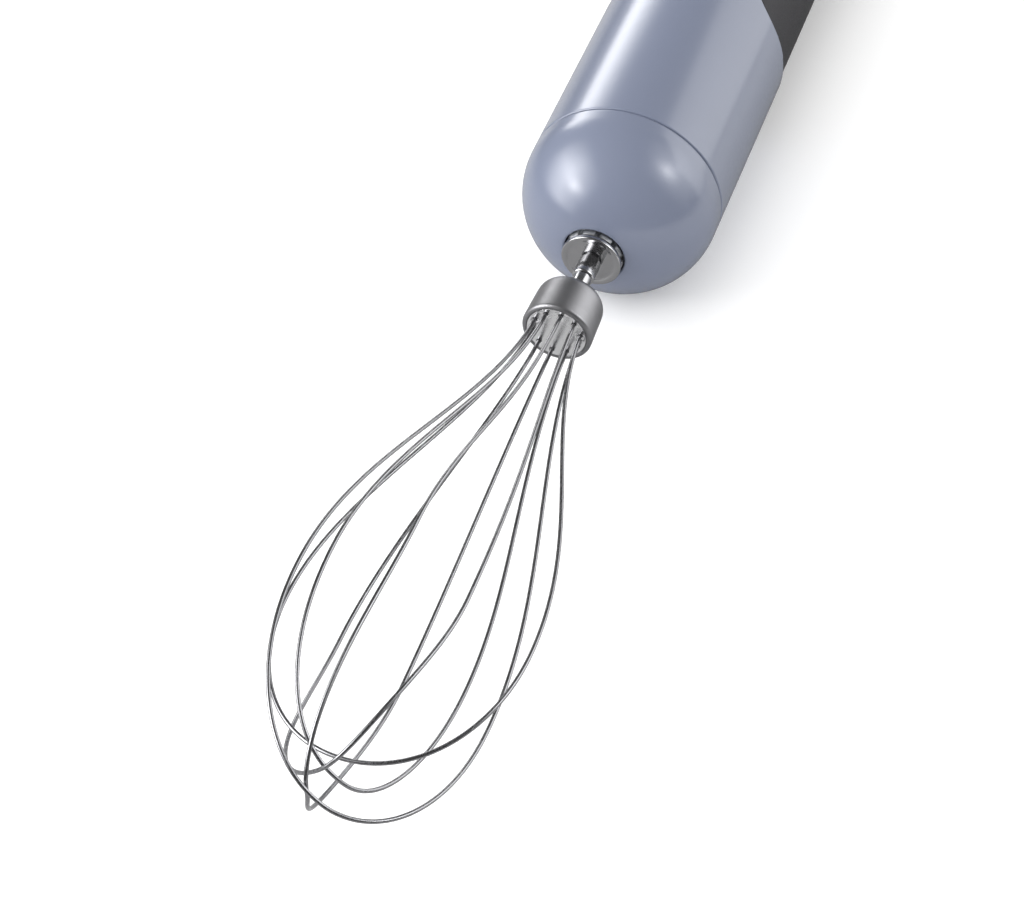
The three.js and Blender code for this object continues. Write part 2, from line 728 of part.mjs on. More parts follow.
function armatureCore() {
  const outline = toothed({
    count: 8,
    rootRadius: 9.6,
    tipRadius: ARMATURE_RADIUS,
    rootHalf: 12 * DEGREE,
    tipHalf: 18 * DEGREE,
    phase: 0,
  });
  const shape = outlineShape(outline);
  const bore = new THREE.Path();
  bore.absarc(0, 0, SPINDLE_RADIUS + GAP, 0, 2 * Math.PI, true);
  shape.holes.push(bore);
  return plate(shape, 36, 70);
}

function winding(front, rear) {
  const middle = (front + rear) / 2;
  return turned([
    [3.4, front],
    [9.5, front],
    [11.4, middle],
    [9.5, rear],
    [3.4, rear],
  ], SMALL_SIDES);
}

function motorEndBell() {
  const front = CAN_REAR + GAP;
  const rear = 91;
  return turned([
    [CAN_RADIUS - 2, front],
    [CAN_RADIUS, front],
    [CAN_RADIUS, rear],
    [BEARING_RADIUS + 0.3, rear],
    [BEARING_RADIUS + 0.3, rear - 2.4],
    [CAN_RADIUS - 2, rear - 2.4],
  ], MEDIUM_SIDES);
}

function coolingFan() {
  const front = 94;
  const rear = 103;
  const BLADES = 9;
  const hub = rod(5, front, rear, SMALL_SIDES);
  const disc = rod(FAN_RADIUS, rear - 1.4, rear, 27);
  const blades = [];
  for (let i = 0; i < BLADES; i += 1) {
    const blade = block([4, FAN_RADIUS - 0.6], [front, rear - 1], [-0.6, 0.6]);
    blades.push(blade.rotateY((2 * Math.PI * i) / BLADES));
  }
  const bore = rod(SPINDLE_RADIUS + GAP, front - 1, rear + 1);
  return cut(join(hub, disc, ...blades), bore);
}

function driveCoupling() {
  const front = 0.8;
  const rear = 14.6;
  const body = ring(SPINDLE_RADIUS + 0.2, 7.4, front, rear, MEDIUM_SIDES);
  return cut(body, rod(SUN_SHAFT_RADIUS + 0.35, front - 1, 9.5, 6));
}

function addMotor() {
  add("motor_can", motorCan(), zincSteel());
  add("magnet_right", magnet(0), ferrite());
  add("magnet_left", magnet(180), ferrite());
  add("motor_end_bell", motorEndBell(), blackPlastic());
  add("armature_core", armatureCore(), zincSteel());
  add("winding_front", winding(29, 35.6), copper());
  add("winding_rear", winding(70.4, 76.4), copper());
  add("commutator", ring(SPINDLE_RADIUS + GAP, 5.4, 77.5, 85.5), copper());
  add("rotor_shaft", rod(SPINDLE_RADIUS, 10, 105), polishedSteel());
  const spindleBore = roundBore(SPINDLE_RADIUS);
  add("front_bearing", ring(spindleBore, BEARING_RADIUS, 23, 27.4), polishedSteel());
  add("rear_bearing", ring(spindleBore, BEARING_RADIUS, 87.6, 92), polishedSteel());
  add("brush_right", block([5.8, 14.5], [79.4, 83.6], [-2.5, 2.5]), carbon());
  add("brush_left", block([-14.5, -5.8], [79.4, 83.6], [-2.5, 2.5]), carbon());
  add("cooling_fan", coolingFan(), blackPlastic());
  add("drive_coupling", driveCoupling(), blackPlastic());
  add("motor_mount_front", ring(CAN_RADIUS + GAP, BODY_RADIUS - WALL - GAP, 46, 52, MEDIUM_SIDES), rubber());
  add("motor_mount_rear", ring(CAN_RADIUS + GAP, BODY_RADIUS - WALL - 1.5, 71, 77, MEDIUM_SIDES), rubber());
}

// ---------------------------------------------------------------- controls and electrics

function spineButton(halfLength, station) {
  const bevel = 0.8;
  const cap = raised(stadium(BUTTON_HALF_WIDTH, halfLength, station), BUTTON_FLANGE_TOP - 0.5, BUTTON_TOP - bevel);
  const crown = raised(
    stadium(BUTTON_HALF_WIDTH - bevel, halfLength - bevel, station),
    BUTTON_TOP - bevel - 0.5,
    BUTTON_TOP,
  );
  const flange = block(
    [-BUTTON_HALF_WIDTH - 1.8, BUTTON_HALF_WIDTH + 1.8],
    [station - halfLength - 1.5, station + halfLength + 1.5],
    [BUTTON_FLANGE_TOP - 1.6, BUTTON_FLANGE_TOP],
  );
  return join(cap, crown, flange);
}

// The release button's arm reaches forward inside the collar, where its hook sits in the keyway.
function releaseButton() {
  const flangeLow = -25.8;
  const flangeHigh = -24.2;
  const arm = [-2.3, 2.3];
  return join(
    raised(stadium(RELEASE_HALF_WIDTH, 9, RELEASE_STATION), RELEASE_FACE, flangeLow + 0.5),
    block([-7.2, 7.2], [RELEASE_STATION - 11, RELEASE_STATION + 11], [flangeLow, flangeHigh]),
    block(arm, [14, RELEASE_STATION - 10], [flangeLow, flangeHigh]),
    block(arm, [14, 15.8], [flangeLow, -17]),
    block(arm, [5, 15], [-18.6, -17]),
    block(arm, [5, 7.5], [-21, -17.5]),
  );
}

function speedWheel() {
  const RIBS = 20;
  const pitch = Math.PI / RIBS;
  const rim = toothed({
    count: RIBS,
    rootRadius: WHEEL_RADIUS - 0.6,
    tipRadius: WHEEL_RADIUS,
    rootHalf: 0.6 * pitch,
    tipHalf: 0.3 * pitch,
    phase: 0,
  });
  const shape = outlineShape(rim);
  const bore = new THREE.Path();
  bore.absarc(0, 0, roundBore(AXLE_RADIUS), 0, 2 * Math.PI, true);
  shape.holes.push(bore);
  const wheel = plate(shape, -WHEEL_HALF_WIDTH, WHEEL_HALF_WIDTH).rotateZ(QUARTER);
  return wheel.translate(0, WHEEL_STATION, WHEEL_HEIGHT);
}

function addControls() {
  add("power_button", spineButton(10, POWER_STATION), darkGrip());
  add("turbo_button", spineButton(8, TURBO_STATION), darkGrip());
  add("power_button_spring", coilSpring(3, 16.4, 23, 3.5), polishedSteel(), [0, POWER_STATION, 0]);
  add("turbo_button_spring", coilSpring(3, 16.4, 23, 3.5), polishedSteel(), [0, TURBO_STATION, 0]);
  add("release_button", releaseButton(), darkGrip());
  add("release_spring", coilSpring(2.6, -23.6, -19.6, 2.5), polishedSteel(), [0, RELEASE_STATION, 0]);
  add("speed_wheel", speedWheel(), darkGrip());
  const axle = rod(AXLE_RADIUS, -7.4, 7.4, PIN_SIDES).rotateZ(QUARTER);
  add("wheel_axle", axle, polishedSteel(), [0, WHEEL_STATION, WHEEL_HEIGHT]);
  add("circuit_board", block([-14, 14], [107, 152], [8, 9.6]), boardGreen());
  for (const [name, station] of [["power_switch", POWER_STATION], ["turbo_switch", TURBO_STATION]]) {
    add(name, block([-5, 5], [station - 6, station + 6], [9.6 + GAP, 15.8]), blackPlastic());
  }
  add("terminal_block", block([-9, 9], [172, 181], [-8, 2]), whiteNylon());
}

// ---------------------------------------------------------------- build

addLoops();
add("whisk_ferrule", ferrule(), brushedSteel());
add("ferrule_plate", ferrulePlate(), brushedSteel());
add("whisk_shaft", whiskShaft(), brushedSteel());
add("shaft_flange", shaftFlange(), brushedSteel());
addAdapter();
add("front_housing", frontHousing(), bluePaint());
add("rear_grip", rearGrip(), darkGrip());
add("tail_cap", tailCap(), darkGrip());
add("cord_gland", cordGland(), rubber());
add("front_bulkhead", frontBulkhead(), blackPlastic());
addMotor();
addControls();

export default blender;
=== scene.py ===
"""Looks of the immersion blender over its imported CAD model: finer pieces, materials, light and camera."""

import json
import math

import bpy
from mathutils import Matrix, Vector, kdtree
from mathutils.geometry import delaunay_2d_cdt


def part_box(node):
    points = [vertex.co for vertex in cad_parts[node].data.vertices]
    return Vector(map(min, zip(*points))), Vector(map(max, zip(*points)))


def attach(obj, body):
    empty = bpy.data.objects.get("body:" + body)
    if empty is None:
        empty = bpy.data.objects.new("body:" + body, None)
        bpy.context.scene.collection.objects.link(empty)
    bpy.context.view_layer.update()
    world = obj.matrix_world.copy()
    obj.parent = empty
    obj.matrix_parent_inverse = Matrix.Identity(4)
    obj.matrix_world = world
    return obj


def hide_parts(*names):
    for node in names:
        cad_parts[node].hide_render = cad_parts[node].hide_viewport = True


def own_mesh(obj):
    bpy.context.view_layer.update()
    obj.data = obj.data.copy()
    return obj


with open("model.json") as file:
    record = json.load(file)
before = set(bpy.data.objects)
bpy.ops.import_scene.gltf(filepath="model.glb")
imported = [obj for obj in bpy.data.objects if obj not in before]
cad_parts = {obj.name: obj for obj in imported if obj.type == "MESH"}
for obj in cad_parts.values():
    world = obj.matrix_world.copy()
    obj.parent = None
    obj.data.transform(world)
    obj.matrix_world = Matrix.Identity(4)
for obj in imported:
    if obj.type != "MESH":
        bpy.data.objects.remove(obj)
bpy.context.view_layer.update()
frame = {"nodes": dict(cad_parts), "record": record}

# ---- driving dimensions, in millimetres

MM = 0.001
SHAFT_LOW, SHAFT_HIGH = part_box("rotor_shaft")
DOME_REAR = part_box("adapter_dome")[1].y
PARTING_HALF_GAP = 0.25
# The turning axis at the parting plane between adapter and drive unit. Stations are measured from it.
AXIS = Vector((
    (SHAFT_LOW.x + SHAFT_HIGH.x) / 2,
    DOME_REAR + PARTING_HALF_GAP * MM,
    (SHAFT_LOW.z + SHAFT_HIGH.z) / 2,
))

BODY_RADIUS = 30
WALL = 2.6
SKIRT = 4
NOSE = 28
GRIP_RADIUS = 29.2
LINER_RADIUS = 27.2
SLEEVE_END = 69
SPINE_HALF = 16
SPINE_CORNER = 14
SEAM = 0.4
HOUSING_END = 186
TAIL_END = 200
TAIL_ROUND = 8
RIM_ROUND = 0.55

POWER_STATION = 116
TURBO_STATION = 142
POWER_REACH = 10
TURBO_REACH = 8
BUTTON_HALF = 6.5
BUTTON_GAP = 0.4
BUTTON_TOP = 31.6
BUTTON_BASE = 25.3
WHEEL_STATION = 166
WHEEL_HEIGHT = 20.5
WHEEL_RADIUS = 12.5
WHEEL_HALF = 3.5
RELEASE_STATION = 32
RELEASE_HALF = 5.5
RELEASE_REACH = 9
RELEASE_FACE = 29

FERRULE_FACE = -64.8
FERRULE_RADIUS = 10.5
FERRULE_REAR_RADIUS = 10
FERRULE_LENGTH = 15.4
PLATE_RADIUS = 9
HOLE_CIRCLE = 7.2
MOUTH_RADIUS = 0.74
MOUTH_ROUND = 24
MOUTH_DROP = 0.2
RIM_DROP = 0.3
WIRE_RADIUS = 0.6
FLANGE = -32.8
FLANGE_RADIUS = 9.1
SHAFT_RADIUS = 2.7
SLEEVE_RADIUS = 3.3
HUB_RADIUS = 5.4
HUB_FRONT = -31.4
CROWN_RADIUS = 8.9
CROWN_THICKNESS = 3.6
CROWN_NOTCHES = 10
FIRST_NOTCH = 8
NOTCH_RADIUS = 0.9
NOTCH_CIRCLE = 8.3
RECESS_RADIUS = 9.3
RECESS_FLOOR = -25.6
CARRIER_REAR = -15.8

# As in the CAD source: the angle of a loop's first side, then for each side its widest radius, where that
# is and its twist on the way there, and then the loop's reach and its tip's lean.
LOOPS = [
    dict(angle=-62, radius=(35.2, 28.3), widest=(115, 125.5), twist=(4.7, -3.8), reach=173, lean=1.9),
    dict(angle=-26, radius=(30.3, 22), widest=(108.5, 114.5), twist=(-23.5, -17), reach=163, lean=-0.8),
    dict(angle=10, radius=(26.5, 27.3), widest=(99, 113.5), twist=(-17.8, -0.8), reach=171, lean=-5.5),
    dict(angle=46, radius=(22, 38), widest=(111.5, 103), twist=(-5, -2.8), reach=164.3, lean=-6.4),
    dict(angle=82, radius=(32.9, 36.8), widest=(113, 109.5), twist=(-2, 1.8), reach=156.4, lean=0.5),
]

ROUND = 160
SMALL_ROUND = 96
BODY_ROUND = 192
# On an unrolled sheet: the spacing of its inner points, and the distance at which points are one.
GRID = (1.0, 3.0)
SAME_POINT = 1e-4

# ---- points and curves


def spot(radius, angle, station):
    """The point at a radius, an angle from straight up towards +X, and a station along the axis."""
    return AXIS + Vector((radius * math.sin(angle), station, radius * math.cos(angle))) * MM


def arc(centre, size, start, end, steps):
    """Points (radius, station) along an elliptical arc, with its angles in degrees."""
    points = []
    for i in range(steps + 1):
        a = math.radians(start + (end - start) * i / steps)
        points.append((centre[0] + size[0] * math.cos(a), centre[1] + size[1] * math.sin(a)))
    return points


def turns(steps):
    """Angles all the way round."""
    return [2 * math.pi * i / steps for i in range(steps)]


def circle(centre, radius, steps):
    return arc(centre, (radius, radius), 0, 360, steps)[:-1]


def evenly(start, end, station, steps):
    """Points at one station, evenly spaced from start to end."""
    return [(start + (end - start) * i / steps, station) for i in range(steps + 1)]


def neighbours(points):
    """Each point of a closed outline with the next."""
    return zip(points, [*points[1:], points[0]])


def smooth_step(value):
    x = min(max(value, 0.0), 1.0)
    return x * x * (3 - 2 * x)


# ---- meshes


def signed_volume(verts, faces):
    """Six times the volume inside a closed mesh, negative if its faces look inwards."""
    total = 0.0
    for face in faces:
        for second, third in zip(face[1:], face[2:]):
            total += verts[face[0]].dot(verts[second].cross(verts[third]))
    return total


def middle(points, face):
    """The middle of a face on the flat."""
    return sum((points[i] for i in face), Vector((0, 0))) / len(face)


def linked(name, data):
    """A new object in the scene."""
    made = bpy.data.objects.new(name, data)
    bpy.context.scene.collection.objects.link(made)
    return made


def add_piece(name, shape, body, slot, *nodes, crease=40, material=None):
    """A piece from points in metres, faces and maybe normals, that stands for the named CAD nodes.

    It takes its slot's material. Without normals, its faces are smooth up to the crease angle.
    """
    verts, faces, *normals = shape
    if not normals and signed_volume(verts, faces) < 0:
        faces = [tuple(reversed(face)) for face in faces]
    mesh = bpy.data.meshes.new(name)
    mesh.from_pydata(verts, [], faces)
    mesh.polygons.foreach_set("use_smooth", [True] * len(mesh.polygons))
    piece = linked(name, mesh)
    if normals:
        mesh.normals_split_custom_set_from_vertices(normals[0])
    else:
        mesh.set_sharp_from_angle(angle=math.radians(crease))
        weighted = piece.modifiers.new("even_normals", "WEIGHTED_NORMAL")
        weighted.keep_sharp = True
    mesh.materials.append(material or SLOT_MATERIALS[slot])
    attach(piece, body)
    if nodes:
        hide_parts(*nodes)
    return piece


def ring_faces(rings, count, closed=True):
    """Quads between neighbouring rings of count points each. Closed joins the last ring to the first."""
    faces = []
    for i in range(rings if closed else rings - 1):
        j = (i + 1) % rings
        for k in range(count):
            m = (k + 1) % count
            faces.append((i * count + k, i * count + m, j * count + m, j * count + k))
    return faces


def strip_faces(count, closed=True, base=0):
    """Quads along a row of count pairs of points."""
    starts = [(base + 2 * i, base + 2 * ((i + 1) % count)) for i in range(count if closed else count - 1)]
    return [(i, i + 1, j + 1, j) for i, j in starts]


def lathe_mesh(profile, sides, floor_cut=False):
    """Points and faces of a closed outline of (radius, station) turned about the axis."""
    verts = [spot(radius, a, station) for a in turns(sides) for radius, station in profile]
    if floor_cut:
        for point in verts:
            point.z = max(point.z, 0.0)
    return merge_close(verts, ring_faces(sides, len(profile)))


def merge_close(verts, faces, reach=1e-7):
    """Joins points that fall together and drops faces that lose their area."""
    tree = kdtree.KDTree(len(verts))
    for i, v in enumerate(verts):
        tree.insert(v, i)
    tree.balance()
    keep = list(range(len(verts)))
    for i, v in enumerate(verts):
        if keep[i] == i:
            for _, j, _ in tree.find_range(v, reach):
                if j > i and keep[j] == j:
                    keep[j] = i
    kept = []
    for face in faces:
        ring = []
        for i in face:
            if not ring or ring[-1] != keep[i]:
                ring.append(keep[i])
        if len(ring) > 1 and ring[0] == ring[-1]:
            ring.pop()
        if len(set(ring)) >= 3:
            kept.append(ring)
    return drop_unused(kept, verts)


def drop_unused(faces, *lists):
    """Lists with an item for each point, without the points that no face uses, and then the faces."""
    used = sorted({i for face in faces for i in face})
    number = {k: n for n, k in enumerate(used)}
    faces = [tuple(number[i] for i in face) for face in faces]
    return *[[items[k] for k in used] for items in lists], faces


def add_turned(name, profile, body, slot, *nodes, sides=ROUND, floor_cut=False, **looks):
    """A piece turned from an outline of (radius, station)."""
    add_piece(name, lathe_mesh(profile, sides, floor_cut), body, slot, *nodes, **looks)


def joined(*parts):
    """One list of points and one of faces from several."""
    verts = []
    faces = []
    for part_verts, part_faces in parts:
        base = len(verts)
        verts += part_verts
        faces += [tuple(i + base for i in face) for face in part_faces]
    return verts, faces


# ---- sheets wrapped round the axis

RIM_ANGLES = (90, 65, 45, 25, 0)


class Line:
    """An edge of a sheet, as points (across, along) on the unrolled surface, with the sheet on its left."""

    def __init__(self, points, closed=False, rim=RIM_ROUND):
        self.points = [Vector(p) for p in points]
        self.closed = closed
        self.rim = rim

    def normal(self, i):
        """The direction out of the sheet at a point, lengthened at corners so that offsets stay parallel."""
        count = len(self.points)
        before = self.points[i] - self.points[i - 1] if i or self.closed else None
        after = self.points[(i + 1) % count] - self.points[i] if i < count - 1 or self.closed else None
        steps = [d for d in (before, after) if d is not None and d.length > 1e-9]
        sides = [Vector((d.y, -d.x)).normalized() for d in steps]
        total = sum(sides, Vector((0, 0))).normalized()
        return total / max(total.dot(sides[0]), 0.5)

    def inset(self, distance):
        return [p - self.normal(i) * distance for i, p in enumerate(self.points)]


def inside(point, polygon):
    """True if the point is inside the closed polygon."""
    hit = False
    px, py = point
    for i in range(len(polygon)):
        (ax, ay), (bx, by) = polygon[i - 1], polygon[i]
        if (ay > py) != (by > py) and px < (bx - ax) * (py - ay) / (by - ay) + ax:
            hit = not hit
    return hit


def sheet_plan(outline, rims):
    """The unrolled sheet: points, edges, and for points on a rim its lean, its rounding and its normal."""
    flat, edges, marks = [], [], []
    for line in rims:
        normals = [line.normal(i).normalized() for i in range(len(line.points))]
        for angle in RIM_ANGLES:
            first = len(flat)
            flat += line.inset(line.rim * (1 - math.sin(math.radians(angle))))
            marks += [(angle, line.rim, normal) for normal in normals]
            last = len(flat)
            edges += [(i, i + 1) for i in range(first, last - 1)]
            if line.closed:
                edges.append((last - 1, first))
    on_rims = len(flat)
    for p, q in neighbours(outline):
        flat += [Vector(p), Vector(q)]
        edges.append((len(flat) - 2, len(flat) - 1))
    near = kdtree.KDTree(on_rims)
    for i in range(on_rims):
        near.insert((flat[i].x, flat[i].y, 0), i)
    near.balance()
    low = Vector((min(p[0] for p in outline), min(p[1] for p in outline)))
    high = Vector((max(p[0] for p in outline), max(p[1] for p in outline)))
    columns = round((high.x - low.x) / GRID[0])
    rows = round((high.y - low.y) / GRID[1])
    for i in range(columns + 1):
        for j in range(rows + 1):
            p = Vector((low.x + (high.x - low.x) * i / columns, low.y + (high.y - low.y) * j / rows))
            if near.find((p.x, p.y, 0))[2] > 0.45 * GRID[0]:
                flat.append(p)
    marks += [None] * (len(flat) - on_rims)
    return flat, edges, marks


def wrapped_sheet(radius, outline, lines, holes, depth, floor_cut=False):
    """A sheet at a radius, with rounded rims along its lines and holes and walls down to its depth.

    The outline is the closed polygon that the sheet fills. Lines are the stretches of it that are real
    edges, and holes are closed lines. Returns points, faces and normals.
    """
    rims = [*lines, *holes]
    flat, edges, marks = sheet_plan(outline, rims)
    points, _, triangles, origin, _, _ = delaunay_2d_cdt(flat, edges, [], 0, SAME_POINT)
    verts, normals, faces = [], [], []
    for i, p in enumerate(points):
        drop, lean, out = 0.0, 0.0, Vector((0, 0))
        for k in origin[i]:
            if marks[k]:
                angle, rim, out = marks[k]
                lean = math.radians(angle)
                drop = rim * (1 - math.cos(lean))
                break
        add_wrapped(verts, normals, radius, p, drop, lean, out, floor_cut)
    for tri in triangles:
        c = middle(points, tri)
        if inside(c, outline) and not any(inside(c, hole.points) for hole in holes):
            faces.append(tuple(tri))
    add_back(verts, normals, faces, radius, points, depth, floor_cut)
    for line in rims:
        add_wall(verts, normals, faces, radius, line, depth, floor_cut)
    verts, normals, faces = drop_unused(faces, verts, normals)
    return verts, faces, normals


def add_wrapped(verts, normals, radius, flat, drop, lean, out, floor_cut):
    """One point of the sheet, dropped below its radius, with its normal leaned outwards over the edge."""
    a = flat.x / radius
    point = spot(radius - drop, a, flat.y)
    outward = Vector((math.sin(a), 0, math.cos(a)))
    across = Vector((math.cos(a), 0, -math.sin(a)))
    side = across * out.x + Vector((0, 1, 0)) * out.y
    normal = outward * math.cos(lean) + side * math.sin(lean)
    if floor_cut and point.z < 0:
        point.z = 0.0
        normal = Vector((0, 0, -1)) if lean < 0.1 else normal
    verts.append(point)
    normals.append(normal.normalized())


def add_back(verts, normals, faces, radius, points, depth, floor_cut):
    """The inside of the sheet, facing the axis."""
    base = len(verts)
    for p in points:
        add_wrapped(verts, normals, radius, p, depth, 0.0, Vector((0, 0)), floor_cut)
    normals[base:] = [-n for n in normals[base:]]
    faces += [tuple(base + i for i in reversed(face)) for face in faces]


def add_wall(verts, normals, faces, radius, line, depth, floor_cut):
    """The cut face of the sheet under one of its edges."""
    base = len(verts)
    for i, p in enumerate(line.points):
        out = line.normal(i).normalized()
        add_wrapped(verts, normals, radius, p, line.rim, math.pi / 2, out, floor_cut)
        add_wrapped(verts, normals, radius, p, depth, math.pi / 2, out, floor_cut)
    faces += strip_faces(len(line.points), line.closed, base)


# ---- materials


def new_node(tree, kind, inputs, **settings):
    """A shader node. Its inputs are given by name or number, as links or as plain values."""
    node = tree.nodes.new("ShaderNode" + kind)
    for key, value in settings.items():
        setattr(node, key, value)
    for key, value in inputs.items():
        if isinstance(value, bpy.types.NodeSocket):
            tree.links.new(value, node.inputs[key])
        else:
            node.inputs[key].default_value = value
    return node


class Nodes:
    """Builds the nodes of one material, light or world around its shader."""

    def __init__(self, owner, shader):
        owner.use_nodes = True
        self.owner = owner
        self.tree = owner.node_tree
        self.shader = self.tree.nodes[shader]

    def set(self, **values):
        for key, value in values.items():
            self.shader.inputs[key.replace("_", " ")].default_value = value

    def drive(self, name, source):
        self.tree.links.new(source, self.shader.inputs[name])

    def math(self, operation, a, b=0.0):
        return new_node(self.tree, "Math", {0: a, 1: b}, operation=operation).outputs[0]

    def split(self, vector):
        return new_node(self.tree, "SeparateXYZ", {0: vector}).outputs

    def place(self, scale=(1, 1, 1)):
        """Rest coordinates measured from the axis, in metres, scaled."""
        coords = new_node(self.tree, "TexCoord", {}).outputs["Object"]
        shift = new_node(self.tree, "VectorMath", {0: coords, 1: AXIS}, operation="SUBTRACT")
        grow = new_node(self.tree, "VectorMath", {0: shift.outputs[0], 1: scale}, operation="MULTIPLY")
        return grow.outputs[0]

    def turned(self, around, along, outwards):
        """Coordinates wrapped round the axis: angle, station and radius, each with its own scale."""
        x, y, z = self.split(self.place())
        angle = self.math("ARCTAN2", x, z)
        radius = self.length(x, z)
        scales = (around, along, outwards)
        scaled_up = [self.math("MULTIPLY", v, scale) for v, scale in zip((angle, y, radius), scales)]
        return new_node(self.tree, "CombineXYZ", dict(enumerate(scaled_up))).outputs[0]

    def length(self, a, b):
        squares = self.math("ADD", self.math("MULTIPLY", a, a), self.math("MULTIPLY", b, b))
        return self.math("SQRT", squares)

    def noise(self, vector, scale, detail=3.0, roughness=0.5):
        inputs = {"Vector": vector, "Scale": scale, "Detail": detail, "Roughness": roughness}
        return new_node(self.tree, "TexNoise", inputs).outputs["Fac"]

    def ramp(self, source, start, end):
        """The source's range `start` mapped to the range `end`."""
        names = ("Value", "From Min", "From Max", "To Min", "To Max")
        return new_node(self.tree, "MapRange", dict(zip(names, (source, *start, *end)))).outputs[0]

    def rough(self, source, low, high):
        """A roughness from low to high, driven by a noise, which stays near one half."""
        self.drive("Roughness", self.ramp(source, (0.3, 0.7), (low, high)))

    def tint(self, source, colour, low, high):
        """A base colour between low and high times the colour."""
        inputs = {0: source, 6: (*scaled(colour, low), 1), 7: (*scaled(colour, high), 1)}
        self.drive("Base Color", new_node(self.tree, "Mix", inputs, data_type="RGBA").outputs[2])

    def bump(self, source, distance, strength):
        inputs = {"Height": source, "Distance": distance, "Strength": strength}
        made = new_node(self.tree, "Bump", inputs).outputs[0]
        self.drive("Normal", made)
        return made


def surface(name):
    return Nodes(bpy.data.materials.new(name), "Principled BSDF")


def scaled(colour, factor):
    return tuple(c * factor for c in colour)


def lacquer(name, colour):
    """Smooth lacquer over a base coat, with the faintest waviness."""
    n = surface(name)
    n.set(Metallic=0.0, Coat_Weight=1.0, Coat_Roughness=0.18, Coat_IOR=1.5, Specular_IOR_Level=0.15)
    cloud = n.noise(n.place(), 45.0, 2.0)
    n.tint(cloud, colour, 0.97, 1.03)
    fine = n.noise(n.place(), 900.0, 2.0)
    n.rough(fine, 0.3, 0.36)
    peel = n.noise(n.place(), 260.0, 1.0)
    n.drive("Coat Normal", n.bump(peel, 0.000012, 0.35))
    return n.owner


def grained(name, colour, roughness, grain=2600.0, depth=0.00003):
    """Moulded plastic with a fine grain."""
    n = surface(name)
    n.set(Specular_IOR_Level=0.15)
    cloud = n.noise(n.place(), 60.0, 3.0)
    n.tint(cloud, colour, 0.9, 1.1)
    fine = n.noise(n.place(), grain, 2.0)
    n.rough(fine, roughness - 0.06, roughness + 0.06)
    n.bump(fine, depth, 0.5)
    return n.owner


def turned_steel(name, colour, roughness, lines=9000.0, depth=0.0000015):
    """Steel brushed round the axis: fine rings with slow changes along them."""
    n = surface(name)
    n.set(Metallic=1.0)
    rings = n.noise(n.turned(3.0, lines, lines), 1.0, 4.0, 0.6)
    broad = n.noise(n.turned(1.5, 260.0, 260.0), 1.0, 2.0)
    n.tint(broad, colour, 0.93, 1.05)
    n.rough(rings, roughness - 0.05, roughness + 0.07)
    n.bump(rings, depth, 0.5)
    return n.owner


def drawn_steel(name, colour, roughness):
    """Bright wire, drawn through a die, with slight changes in gloss."""
    n = surface(name)
    n.set(Metallic=1.0)
    broad = n.noise(n.place((1, 0.15, 1)), 900.0, 3.0)
    n.tint(broad, colour, 0.94, 1.04)
    n.rough(broad, roughness - 0.03, roughness + 0.05)
    fine = n.noise(n.place((1, 0.03, 1)), 5000.0, 2.0)
    n.bump(fine, 0.0000015, 0.4)
    return n.owner


def plain_metal(name, colour, roughness):
    """A machined or plated metal inside the housing."""
    n = surface(name)
    n.set(Metallic=1.0)
    broad = n.noise(n.place(), 300.0, 3.0)
    n.tint(broad, colour, 0.88, 1.06)
    fine = n.noise(n.place(), 3000.0, 2.0)
    n.rough(fine, roughness - 0.06, roughness + 0.08)
    n.bump(fine, 0.00001, 0.3)
    return n.owner


BLUE = (0.152, 0.173, 0.238)
GRIP = (0.0195, 0.0188, 0.0225)

SLOT_MATERIALS = {
    "blue_lacquer": lacquer("blue_lacquer", BLUE),
    "dark_grip": grained("satin_grip", GRIP, 0.42),
    "black_plastic": grained("black_plastic", (0.018, 0.018, 0.02), 0.5),
    "soft_rubber": grained("matt_rubber", (0.012, 0.012, 0.013), 0.75, 1500.0, 0.00005),
    "white_nylon": grained("white_nylon", (0.72, 0.70, 0.64), 0.45),
    "board": grained("circuit_board_green", (0.03, 0.14, 0.07), 0.4, 900.0),
    "carbon": grained("carbon_block", (0.02, 0.02, 0.022), 0.7, 1200.0),
    "ferrite": grained("pressed_ferrite", (0.04, 0.04, 0.045), 0.6, 1500.0),
    "brushed_steel": turned_steel("turned_steel", (0.25, 0.25, 0.26), 0.43),
    "bright_wire": drawn_steel("drawn_wire", (0.25, 0.25, 0.26), 0.25),
    "zinc_steel": plain_metal("zinc_plated_steel", (0.42, 0.43, 0.45), 0.34),
    "bronze": plain_metal("sintered_bronze", (0.45, 0.28, 0.12), 0.4),
    "copper": plain_metal("motor_copper", (0.55, 0.22, 0.11), 0.32),
}
SOFT_BUTTON = grained("soft_button", scaled(GRIP, 0.8), 0.55, 1800.0, 0.00004)
POLISHED = turned_steel("polished_steel", (0.44, 0.44, 0.45), 0.14, 9000.0, 0.0000004)
PLATE_STEEL = turned_steel("satin_plate_steel", (0.88, 0.88, 0.89), 0.2, 9000.0, 0.000001)
HUB_STEEL = plain_metal("cast_hub_steel", (0.62, 0.63, 0.65), 0.5)


def dress_cad_nodes():
    """Every CAD node gets the material of its slot."""
    for row in frame["record"]["subparts"]:
        node = frame["nodes"][row["node"]]
        node.data.materials.clear()
        node.data.materials.append(SLOT_MATERIALS[row["material_slot"]])


# ---- whisk


